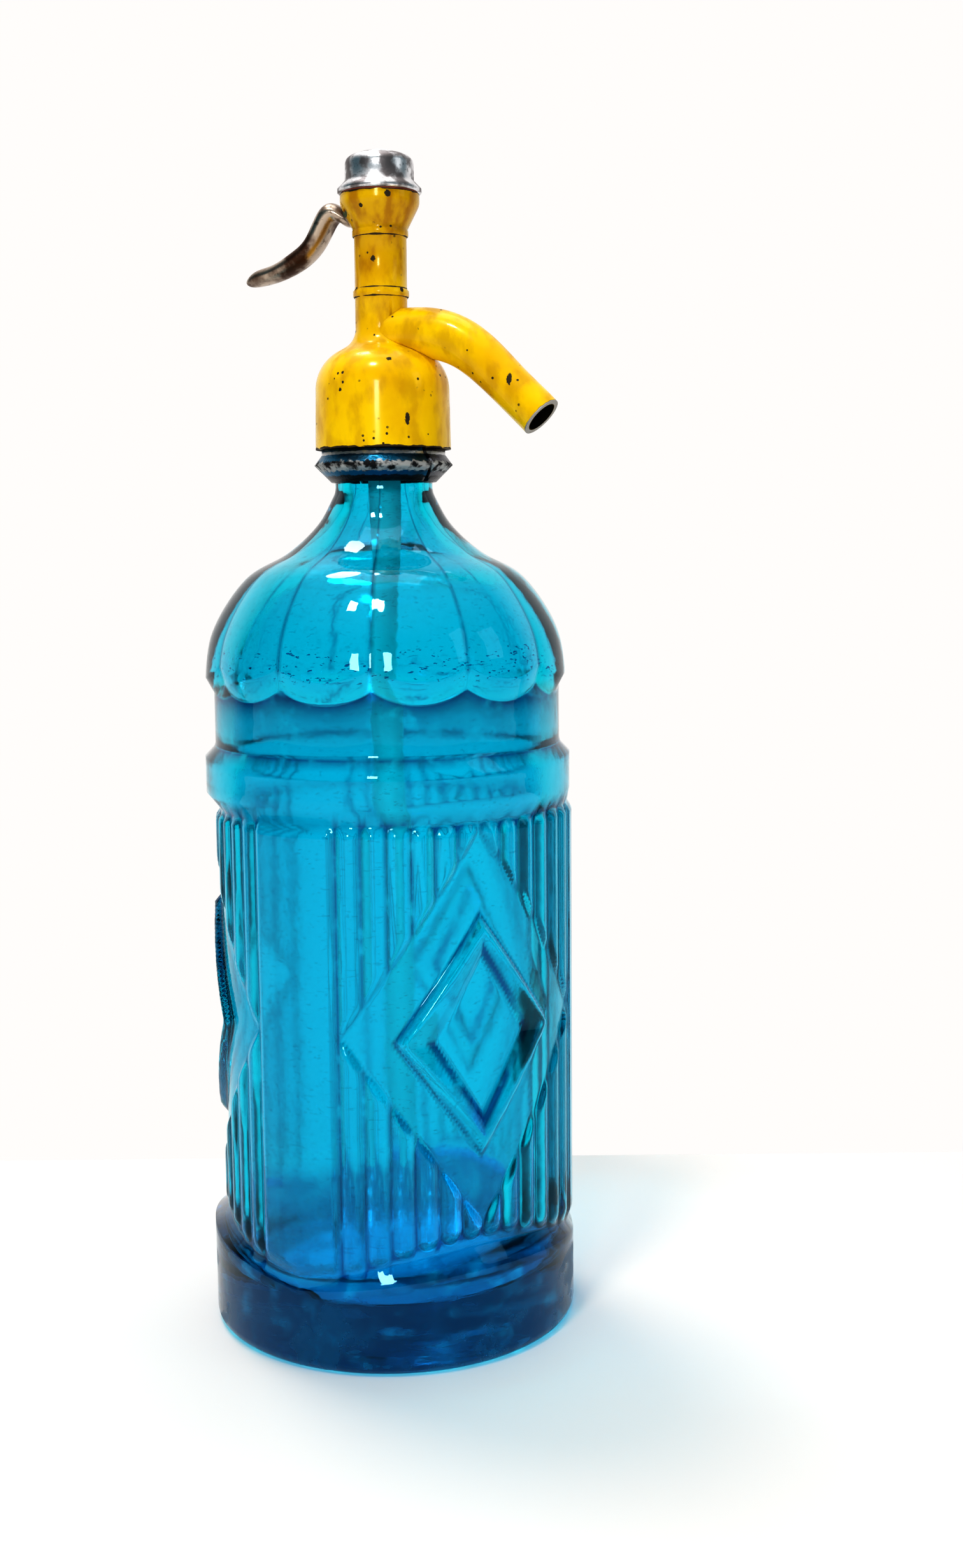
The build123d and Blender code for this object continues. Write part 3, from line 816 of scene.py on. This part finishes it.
def smooth_line(knots: Array, steps: int) -> Array:
    """Catmull-Rom line through the knots between the first and the last, which only steer it.

    Args:
        knots: Points, one row each.
        steps: Points for each stretch of the line.

    Returns:
        The line's points, one row each.
    """
    out = []
    for p, q, r, s in zip(knots, knots[1:], knots[2:], knots[3:]):
        for t in np.linspace(0, 1, steps, endpoint=False):
            out.append(0.5 * (2 * q + (r - p) * t + (2 * p - 5 * q + 4 * r - s) * t**2
                              + (3 * q - p - 3 * r + s) * t**3))
    return np.array([*out, knots[-2]])


@dataclass(frozen=True)
class Lozenge:
    """Upright lozenge on the glass: half width in degrees, height of its middle and half height."""

    width: float
    mid: float
    half: float

    def outward(self, angle: Array, height: Array) -> Array:
        """Share of the way out: -1 in the middle, below 0 inside and above 0 outside."""
        return np.abs(angle) / self.width + np.abs(height - self.mid) / self.half - 1


@dataclass
class Rings:
    """Rings of the bottle's sector from the base's middle on, each with a point for each column."""

    columns: int
    rows: list[tuple[Array, ...]] = field(default_factory=list)

    def add(self, radius: object, height: object, crease: object = 0.0) -> None:
        """Adds one ring; each value is one number or one for each column."""
        self.rows.append(tuple(value * np.ones(self.columns) for value in (radius, height, crease)))


@dataclass
class Bottle:
    """Moulded bottle, shaped as one sector of 120 degrees that is repeated three times.

    Sizes are in millimetres, and angles in degrees from a medallion's centre. A crease is painted light on
    the
    glass: 1 is painted shade in a groove, 0 is plain glass and -1 is a painted highlight on an edge.
    """

    medallion_azimuth: float = -33.6
    sector: float = 120.0
    sectors: int = 3
    # Foot
    foot_r: float = 50.75
    foot_round: float = 3.5
    round_from: float = 15.0
    hollow: float = 0.6
    # Painted shade on the foot's rounded edge and wall
    foot_shade: float = 0.9
    ledge_low: float = 21.0
    ledge_high: float = 28.6
    ledge_half: float = 53.0
    ledge_rise: float = 2.6
    # Body, whose relief starts and ends over these shares of its height
    body_r: float = 49.1
    lobe: float = 1.5
    body_top: float = 145.0
    start_fade: float = 1 / 30
    end_fade: float = 1 / 60
    # Painted shade near the body's ends: its reach at the bottom and its strength
    start_shade: float = 1 / 40
    end_shade: float = 0.5
    reed_count: int = 12
    reed_pitch: float = 7.67
    reed_depth: float = 1.27
    reed_end: float = 3.25
    # Heights of the reeds' ends, in the middle and at the sides
    reed_feet: Span = (34.4, 24.5)
    reed_tops: Span = (144.4, 147.0)
    # Painted shade in a reed's valley and a painted highlight on its flank, as shares of its half width
    valley_from: float = 0.65
    valley_gain: float = 3.0
    gleam_at: float = -0.45
    gleam_half: float = 0.25
    # Medallion
    plain: Lozenge = Lozenge(45.5, 90.0, 52.6)
    frame: Lozenge = Lozenge(28.9, 88.5, 31.8)
    recess: Lozenge = Lozenge(16.4, 88.5, 21.2)
    crest_h: float = 2.4
    recess_h: float = 0.6
    # Shares of the way in from a lozenge's edge: the reeds' fade, and the frame's crest and slope
    reed_fade: float = 0.03
    crest_at: float = 0.09
    slope_from: float = 0.12
    slope_cut: float = 0.1
    # Creases of the medallion, on the same shares: painted shade on the border, the frame's rim and the
    # recess's edge, lighter on the upper left, and a painted highlight on the crest
    border: float = 0.6
    border_half: float = 0.025
    rim_at: float = -0.01
    rim_half: float = 0.035
    rim_top: float = 1.4
    lit_half: float = 0.04
    pit_in: float = 0.04
    pit_out: float = 0.16
    pit_fade: float = 0.06
    far_shade: float = 0.35
    # Belt, band and dome
    belt_r: float = 50.0
    belt_low: float = 149.1
    belt_high: float = 158.7
    band_r: float = 47.2
    band_low: float = 161.3
    band_step: float = 0.3
    # Painted shade on the band, darkest just below the scalloped edge, and a painted highlight on the edge,
    # as shares of the way up with their creases
    band_creases: tuple[Span, ...] = (
        (0.08, 0.3), (0.3, 0.3), (0.6, 0.5), (0.92, 1.0), (1.0, -1.0))
    scallop_low: float = 176.0
    scallop_rise: float = 4.1
    bevel_h: float = 3.0
    dome_r: float = 49.7
    dome_low: float = 177.3
    dome_h: float = 53.2
    dome_start: float = 0.5
    # Knots of the dome's outline, as shares of the way out from the neck and of the way up
    dome_knots: tuple[Span, ...] = (
        (1.0, -0.12), (1.0, 0.0), (0.935, 0.28), (0.68, 0.545), (0.36, 0.675), (0.143, 0.81), (0.03, 0.94),
        (0.0, 1.0), (0.0, 1.1))
    # The scallops' pull on the rings ends, and the petals fade out, within these heights
    settle_h: float = 18.0
    fade_h: float = 60.0
    petal_pitch: float = 30.0
    petal_offset: float = -4.4
    petal_depth: float = 0.018
    seam_gain: float = 12.0
    # Neck, lip and cavity
    neck_r: float = 13.2
    neck_top: float = 245.5
    lip_r: float = 14.8
    lip_step: float = 0.2
    top: float = 252.5
    cavity_r: float = 42.2
    floor: float = 14.0
    floor_round: float = 14.0
    bore_r: float = 9.2
    bore_end: float = 10.0
    wall: float = 5.2
    # Haze of the inner wall, as shares at these heights
    haze_heights: tuple[float, ...] = (14.0, 24.0, 140.0, 168.0, 182.0, 235.0)
    haze_shares: tuple[float, ...] = (0.1, 1.0, 1.0, 0.6, 0.4, 0.3)
    # Rows and columns of the mesh, and the shares of the radius at which flats have rings
    panel_columns: int = 11
    reed_columns: int = 113
    base_rows: int = 8
    round_rows: int = 6
    foot_rows: int = 9
    body_rows: int = 104
    belt_rows: int = 5
    dome_rows: int = 9
    inner_rows: int = 5
    floor_shares: Span = (0.66, 0.33)
    centre_share: float = 0.02

    def columns(self) -> Array:
        """Angles of the mesh's columns across one sector, closer together over the reeds."""
        reeds = self.reed_count * self.reed_pitch / 2
        side = np.linspace(-self.sector / 2, -reeds, self.panel_columns)
        middle = np.linspace(-reeds, reeds, self.reed_columns)
        return np.concatenate([side, middle[1:-1], -side[::-1]])

    def dome_profile(self, base: float, bore: float, low: float, steps: int) -> Array:
        """Smooth dome outline.

        Args:
            base: Radius at the dome's widest ring.
            bore: Radius at the neck.
            low: Height of the widest ring.
            steps: Points for each stretch of the outline.

        Returns:
            Rows of radius and height, from the widest ring up to the neck.
        """
        knots = [(bore + (base - bore) * out, low + self.dome_h * up) for out, up in self.dome_knots]
        return smooth_line(np.array(knots), steps)

    def lobed(self, angle: Array) -> Array:
        """Radius over the reeds' crests, fuller at the panels and flatter at the medallions."""
        return self.body_r - self.lobe * np.cos(self.sectors * np.radians(angle))

    def ledge(self, angle: Array) -> Array:
        """Height of the foot's top, which rises in an arch under each medallion."""
        rise = self.ledge_high - self.ledge_low
        half = self.foot_r * math.radians(self.ledge_half)
        arc = (half**2 + rise**2) / (2 * rise)
        across = np.sin(np.radians(np.abs(angle))) * self.foot_r
        return np.maximum(self.ledge_high - arc + np.sqrt(arc**2 - across**2), self.ledge_low)

    def reeds(self, angle: Array, height: Array) -> tuple[Array, Array]:
        """Height of the reeds above the valleys, and their creases: painted shade in the valleys and a
        painted highlight on one flank.
        """
        number = np.clip(np.floor(angle / self.reed_pitch + self.reed_count / 2), 0, self.reed_count - 1)
        centre = (number - self.reed_count / 2 + 0.5) * self.reed_pitch
        across = np.radians(angle - centre) * self.body_r
        share = np.abs(centre) / (self.reed_count * self.reed_pitch / 2)
        low, high = (mid + (side - mid) * share**2 for mid, side in (self.reed_feet, self.reed_tops))
        low, high = low + self.reed_end, high - self.reed_end
        along = np.maximum(np.maximum(low - height, height - high), 0)
        radius = (self.reed_end**2 + self.reed_depth**2) / (2 * self.reed_depth)
        away = np.minimum(np.hypot(across, along), self.reed_end)
        # Painted shade in the valley, and a painted highlight on one flank
        valley = np.clip((away / self.reed_end - self.valley_from) * self.valley_gain, 0, 1)
        valley = np.where(along < self.reed_end, valley, 0.0)
        gleam = np.where(along <= 0, tent(across / self.reed_end, self.gleam_at, self.gleam_half), 0.0)
        return np.sqrt(radius**2 - away**2) - (radius - self.reed_depth), valley - gleam

    def relief(self, angle: Array, height: Array) -> tuple[Array, Array]:
        """Height of the body's relief above the valleys, and its creases of painted shade and painted
        highlights.
        """
        reeded = np.abs(angle) <= self.reed_count * self.reed_pitch / 2
        out, crease = self.reeds(angle, height)
        out = np.where(reeded, out, self.reed_depth)
        crease = np.where(reeded, crease, 0.0)
        outward = self.plain.outward(angle, height)
        out = out * np.clip(outward / self.reed_fade, 0, 1)
        # Painted shade along the edge of the plain lozenge
        border = tent(outward, 0.0, self.border_half) * self.border
        crease = np.maximum(np.where(outward > 0, crease, 0.0), border)
        outer = -self.frame.outward(angle, height)
        inner = -self.recess.outward(angle, height)
        rise = np.clip(outer / self.crest_at, 0, 1)
        run = 1 - self.recess.width / self.frame.width - self.slope_cut
        slope = np.clip((outer - self.slope_from) / run, 0, 1)
        frame_h = self.crest_h * rise - (self.crest_h - self.recess_h) * slope
        frame_h = np.where(inner > 0, self.recess_h, frame_h)
        # Painted shade on the frame's rim and the recess's edge, lighter on the upper left, and a painted
        # highlight on the frame's crest
        rim = tent(outer, self.rim_at, self.rim_half, self.rim_top)
        shaded = np.where((angle < 0) & (height > self.frame.mid), self.far_shade, 1.0)
        recess_shade = np.clip(1 - np.maximum(inner / self.pit_in, (-inner - self.pit_out) / self.pit_fade), 0, 1)
        mark = np.maximum(rim, recess_shade * shaded) - tent(outer, self.crest_at, self.lit_half)
        crease = np.where(mark != 0, mark, crease)
        return np.where(outer > 0, frame_h, out), crease

    def foot(self, rings: Rings, ledge: Array) -> None:
        """Hollowed base, rounded edge and wall of the foot, with painted shade on the edge and the wall."""
        for share in np.linspace(self.centre_share, 1, self.base_rows):
            rings.add((self.foot_r - self.foot_round) * share, self.hollow * (1 - share**2))
        # The rounded edge and the wall carry painted shade
        for turn in np.radians(np.linspace(self.round_from, 90, self.round_rows)):
            out, up = 1 - math.sin(turn), 1 - math.cos(turn)
            rings.add(self.foot_r - self.foot_round * out, self.foot_round * up, self.foot_shade)
        for share in np.linspace(0, 1, self.foot_rows)[1:]:
            rings.add(self.foot_r, self.foot_round + (ledge - self.foot_round) * share, self.foot_shade)

    def body(self, rings: Rings, angle: Array, ledge: Array) -> None:
        """Lobed body with reeds, panels and medallions."""
        valley = self.lobed(angle) - self.reed_depth
        low = ledge + self.ledge_rise
        for share in np.linspace(0, 1, self.body_rows):
            height = low + (self.body_top - low) * share
            lift, crease = self.relief(angle, height)
            # Painted shade near the bottom and top of the body
            ends = max(0.0, 1 - share / self.start_shade, 1 - (1 - share) / self.end_fade)
            crease = np.maximum(crease, ends * self.end_shade) if ends else crease
            fade = min(1.0, share / self.start_fade, (1 - share) / self.end_fade)
            rings.add(valley + lift * fade, height, crease)

    def belt(self, rings: Rings, edge: Array) -> None:
        """Belt and band, up to the scalloped edge of the dome, with painted shade on the band and a painted
        highlight on its edge.
        """
        for height in np.linspace(self.belt_low, self.belt_high, self.belt_rows):
            rings.add(self.belt_r, height)
        # Painted shade where the band steps in from the belt
        rings.add(self.band_r + self.band_step, self.band_low, 1.0)
        for share, crease in self.band_creases:
            rings.add(self.band_r, self.band_low + (edge - self.band_low) * share, crease)

    def dome(self, rings: Rings, across: Array, edge: Array) -> None:
        """Petalled dome, neck and lip, with painted shade in the grooves; across is 0 on a petal's middle
        and 1 in a groove.
        """
        profile = self.dome_profile(self.dome_r, self.neck_r, self.dome_low, self.dome_rows)
        profile = profile[profile[:, 1] > self.dome_low + self.dome_start]
        lip = edge + self.bevel_h
        settle = self.dome_low + self.settle_h
        # Painted shade in the grooves between the petals
        groove_shade = np.clip((across - 1) * self.seam_gain + 1, 0, 1)
        for radius, height in profile:
            high = lip + (height - self.dome_low) / self.settle_h * (settle - lip)
            placed = np.where(height < settle, high, height)
            depth = self.petal_depth * radius * min(1.0, (self.top - height) / self.fade_h)
            outline = np.interp(placed, profile[:, 1], profile[:, 0])
            rings.add(outline - depth * across**2, placed, groove_shade)
        rings.add(self.neck_r, self.neck_top)
        rings.add(self.lip_r, self.neck_top + self.lip_step)
        rings.add(self.lip_r, self.top)

    def cavity(self, rings: Rings) -> None:
        """Inner wall, from the lip down to the floor."""
        dome = self.dome_profile(self.cavity_r, self.bore_r, self.dome_low - self.wall, self.inner_rows)
        rings.add(self.bore_r, self.top)
        rings.add(self.bore_r, self.neck_top - self.bore_end)
        for radius, height in dome[::-1]:
            rings.add(radius, height)
        low = self.floor + self.floor_round
        for height in np.linspace(dome[0][1], low, self.base_rows)[1:]:
            rings.add(self.cavity_r, height)
        for turn in np.radians(np.linspace(0, 90, self.round_rows + 1))[1:]:
            inset, drop = 1 - math.cos(turn), math.sin(turn)
            rings.add(self.cavity_r - self.floor_round * inset, low - self.floor_round * drop)
        for share in (*self.floor_shares, self.centre_share):
            rings.add((self.cavity_r - self.floor_round) * share, self.floor)

    def build(self, glass: Look) -> None:
        """Makes the bottle and dresses it.

        Args:
            glass: Look of the blue glass.
        """
        angle = self.columns()
        rings = Rings(len(angle))
        ledge = self.ledge(angle)
        petal = (angle - self.petal_offset) / self.petal_pitch
        across = np.abs(petal - np.floor(petal) - 0.5) * 2
        chord = self.dome_r * math.sin(math.radians(self.petal_pitch / 2))
        arc = (chord**2 + self.scallop_rise**2) / (2 * self.scallop_rise)
        edge = self.scallop_low + arc - np.sqrt(arc**2 - (across * chord) ** 2)
        self.foot(rings, ledge)
        self.body(rings, angle, ledge)
        self.belt(rings, edge)
        self.dome(rings, across, edge)
        outer_points = len(rings.rows) * rings.columns
        self.cavity(rings)
        radius, height, crease = np.array(rings.rows).transpose(1, 0, 2)
        turn = np.radians(angle + self.medallion_azimuth)
        verts = np.stack([radius * np.cos(turn), radius * np.sin(turn), height], -1).reshape(-1, 3)
        rows, columns = radius.shape
        faces = grid_faces(rows, columns)
        base, floor = len(verts), len(verts) + 1
        verts = np.vstack([verts, [[0, 0, self.hollow], [0, 0, self.floor]]])
        last = (rows - 1) * columns
        faces += [(base, j + 1, j) for j in range(columns - 1)]
        faces += [(floor, last + j, last + j + 1) for j in range(columns - 1)]
        piece = mesh_object("bottle", verts, faces)
        haze = np.interp(verts[:, 2], self.haze_heights, self.haze_shares)
        haze[:outer_points] = 0.0
        haze[base] = 0.0
        # The crease mark carries the painted shade and painted highlights; the inner mark carries the haze
        for name, marks in (("crease", [*crease.ravel(), 0.0, 0.0]), ("inner", haze)):
            values = np.array(marks, np.float32)
            piece.data.attributes.new(name, "FLOAT", "POINT").data.foreach_set("value", values)
        bake_tree(piece, sector_tree(), count=self.sectors, material=glass.material)
        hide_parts("glass_bottle")
        dress(piece, glass)


# ---- Head and valve ----


@dataclass
class Head:
    """Metal head with its valve, all from the frame's own solids; its looks go by their materials' names."""

    looks: dict[str, Look]
    lever_crisp: float = 50.0

    def build(self) -> None:
        """Dresses each piece of the head."""
        fixed = {
            "head_body": "yellow_enamel", "spout": "yellow_enamel", "collar_half_front": "blued_pewter",
            "collar_half_back": "pewter", "screw_cap": "chrome", "lever_pin": "brass", "valve_seat": "brass",
            "gland_nut": "brass", "neck_gasket": "rubber", "tube_bush": "rubber", "stem_packing": "rubber",
            "seat_gasket": "fibre", "cap_washer": "fibre",
        }
        for node, name in fixed.items():
            dress(clean_copy(node, f"dressed_{node}"), self.looks[name])
        for node, name in {"valve_stem": "brass", "valve_washer": "rubber", "washer_screw": "brass"}.items():
            dress(clean_copy(node, f"dressed_{node}"), self.looks[name], Body.PLUNGER)
        lever = clean_copy("lever", "dressed_lever", self.lever_crisp)
        dress(lever, self.looks["worn_nickel"], Body.LEVER)


@dataclass
class ReturnSpring:
    """Spring between the crosshead and the cap's roof."""

    wire_r: float = 0.4
    turns: float = 5.0
    travel: float = 2.038

    def build(self, steel: Look) -> None:
        """Makes the coil where the frame's spring stands."""
        low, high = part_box("return_spring")
        wire = self.wire_r * MM
        piece = mesh_object("spring_coil", np.zeros((3, 3)), [(0, 1, 2)])
        bake_tree(piece, coil_tree(), radius=high.x - wire, height=high.z - low.z - 2 * wire,
                  turns=self.turns, wire=wire, lift=low.z + wire, material=steel.material)
        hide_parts("return_spring")
        dress(piece, steel)
        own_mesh(piece)


# ---- Studio ----


@dataclass(frozen=True)
class Panel:
    """Soft rectangular light that looks at the siphon's middle."""

    name: str
    place: Triple
    size: float
    power: float
    tall: float = 1.0


@dataclass
class Studio:
    """Pale floor, soft light and the camera, all turned to the camera's own heading.

    The camera's place is in millimetres, angles are in degrees, and the floor and lights are in metres.
    """

    spout_turn: float = 24.0
    side: float = 25.7
    distance: float = 507.5
    height: float = 214.9
    pitch: float = 7.37
    roll: float = -0.52
    focal_px: float = 2900.0
    long_side_px: float = 2462.0
    sensor: float = 36.0
    nearest: float = 0.01
    farthest: float = 50.0
    # The floor ends a little way behind the siphon
    floor_half: float = 3.0
    floor_deep: float = 3.0
    floor_back: float = 0.125
    floor_colour: Colour = rgba(0.68, 0.655, 0.63)
    floor_rough: float = 0.8
    # Dim room, and a bright wall behind and above
    room: Colour = rgba(0.035, 0.08, 0.1)
    wall: Colour = rgba(0.7, 0.685, 0.675)
    behind: Span = (0.15, 0.6)
    above: Span = (0.5, 1.0)
    # Lights
    aim: Triple = (0.0, 0.0, 0.16)
    panels: tuple[Panel, ...] = (
        Panel("key", (-0.25, -0.6, 1.45), 0.16, 6.5),
        Panel("strip", (-0.15, -1.2, 0.5), 0.16, 3.2, 1.6),
        Panel("fill", (1.1, -0.4, 0.7), 0.4, 0.7, 1.5),
        Panel("top", (0.0, 0.3, 1.7), 0.9, 3.5),
    )
    sun_heading: Triple = (-0.3, 0.4, 1.15)
    sun_power: float = 0.85
    sun_width: float = 16.0

    def turned(self) -> Matrix:
        """Turn from the camera's heading to the frame's."""
        return Matrix.Rotation(math.radians(self.spout_turn), 4, "Z")

    def camera(self) -> None:
        """Places the camera."""
        data = bpy.data.cameras.new("camera")
        data.sensor_width = self.sensor
        data.lens = self.focal_px / self.long_side_px * self.sensor
        data.clip_start, data.clip_end = self.nearest, self.farthest
        eye = in_scene("camera", data)
        tilt = Matrix.Rotation(math.radians(90 - self.pitch), 4, "X")
        roll = Matrix.Rotation(math.radians(self.roll), 4, "Z")
        place = Matrix.Translation(Vector((self.side, -self.distance, self.height)) * MM)
        eye.matrix_world = self.turned() @ place @ tilt @ roll
        bpy.context.scene.camera = eye

    def floor(self) -> None:
        """Makes the floor."""
        wide, deep, back = self.floor_half, self.floor_deep, self.floor_back
        corners = [(-wide, -deep, 0), (wide, -deep, 0), (wide, back, 0), (-wide, back, 0)]
        mesh = bpy.data.meshes.new("floor")
        mesh.from_pydata([self.turned() @ Vector(corner) for corner in corners], [], [(0, 1, 2, 3)])
        plane = in_scene("floor", mesh)
        coat = Coat("pale_floor")
        mesh.materials.append(coat.finish({"Base Color": self.floor_colour, "Roughness": self.floor_rough}))

    def lights(self) -> None:
        """Adds the soft panels, and a wide sun from the upper left, a little behind the siphon."""
        for panel in self.panels:
            data = bpy.data.lights.new(panel.name, "AREA")
            data.shape, data.energy = "RECTANGLE", panel.power
            data.size, data.size_y = panel.size, panel.size * panel.tall
            lamp = in_scene(panel.name, data)
            spot = self.turned() @ Vector(panel.place)
            look = (Vector(self.aim) - spot).to_track_quat("-Z", "Y")
            lamp.matrix_world = Matrix.Translation(spot) @ look.to_matrix().to_4x4()
        data = bpy.data.lights.new("sun", "SUN")
        data.energy, data.angle = self.sun_power, math.radians(self.sun_width)
        heading = self.turned() @ Vector(self.sun_heading)
        in_scene("sun", data).matrix_world = heading.to_track_quat("Z", "Y").to_matrix().to_4x4()

    def world(self) -> None:
        """Sets the soft surround."""
        world = bpy.data.worlds.new("surround")
        world.use_nodes = True
        maker = NodeMaker(world.node_tree)
        sky = maker.node("ShaderNodeTexCoord").outputs["Generated"]
        links = {"Vector": sky, "Angle": -math.radians(self.spout_turn)}
        turned = maker.node("ShaderNodeVectorRotate", links, rotation_type="Z_AXIS")
        away = maker.node("ShaderNodeSeparateXYZ", {0: turned}).outputs
        light = maker.math("MAXIMUM", maker.ramp(away[1], *self.behind), maker.ramp(away[2], *self.above))
        back = world.node_tree.nodes["Background"].inputs
        maker.fill(back["Color"], maker.blend(light, self.room, self.wall))
        back["Strength"].default_value = 1.0
        bpy.context.scene.world = world

    def build(self) -> None:
        """Makes the whole studio."""
        self.camera()
        self.floor()
        self.world()
        self.lights()
        view = bpy.context.scene.view_settings
        view.view_transform, view.look = "Standard", "High Contrast"


# Every finish with its slot
FINISHES = (
    (Slot.BLUE_GLASS, GlassFinish(
        "blue_glass", rgba(0.03, 0.8, 0.96), rgba(0.05, 0.82, 0.95), rgba(0.0, 0.95, 0.971), 250.0,
        shadow=rgba(0.65, 0.83, 0.88), deep=rgba(0.0, 0.04, 0.16))),
    (Slot.TUBE_GLASS, GlassFinish(
        "tube_glass", rgba(0.8, 0.95, 0.9), rgba(0.8, 0.95, 0.9), rgba(0.7, 0.9, 0.85), 30.0,
        transmission=0.45, roughness=0.35)),
    (Slot.ENAMEL, EnamelFinish(
        "yellow_enamel", rgba(0.95, 0.61, 0.002), rgba(0.82, 0.46, 0.002), rgba(0.42, 0.17, 0.002),
        rgba(0.035, 0.025, 0.02), ENAMEL_CHIPS, ENAMEL_LINES)),
    # The front half's bevel is painted blue as a reflection of the glass
    (Slot.PEWTER, CollarFinish("blued_pewter", rgba(0.004, 0.12, 0.22))),
    (Slot.PEWTER, CollarFinish("pewter", rgba(0.1, 0.1, 0.11))),
    (Slot.CHROME, MetalFinish(
        "chrome", rgba(0.85, 0.84, 0.85), rgba(0.22, 0.2, 0.2), 0.3, 0.45, Patches(240.0, 0.42, 0.62, 6.0))),
    (Slot.NICKEL, MetalFinish(
        "worn_nickel", rgba(0.5, 0.41, 0.33), rgba(0.08, 0.04, 0.025), 0.28, 0.5,
        Patches(130.0, 0.4, 0.62, 6.0))),
    (Slot.BRASS, MetalFinish("brass", rgba(0.78, 0.58, 0.28), rgba(0.5, 0.36, 0.18), 0.25, 0.45)),
    (Slot.SPRING, MetalFinish("spring_steel", rgba(0.6, 0.6, 0.6), rgba(0.4, 0.4, 0.4), 0.25, 0.45)),
    (Slot.RUBBER, SoftFinish("rubber", rgba(0.02, 0.02, 0.02), rgba(0.06, 0.06, 0.06))),
    (Slot.FIBRE, SoftFinish("fibre", rgba(0.3, 0.08, 0.05), rgba(0.4, 0.14, 0.08))),
)


def main() -> None:
    """Builds and dresses every piece."""
    logging.basicConfig(level=logging.INFO, format="%(name)s: %(message)s")
    looks = {finish.name: Look(finish.build(), slot) for slot, finish in FINISHES}
    Bottle().build(looks["blue_glass"])
    dress(clean_copy("dip_tube", "clear_tube"), looks["tube_glass"])
    Head(looks).build()
    ReturnSpring().build(looks["spring_steel"])
    Studio().build()


if __name__ == "__main__":
    main()
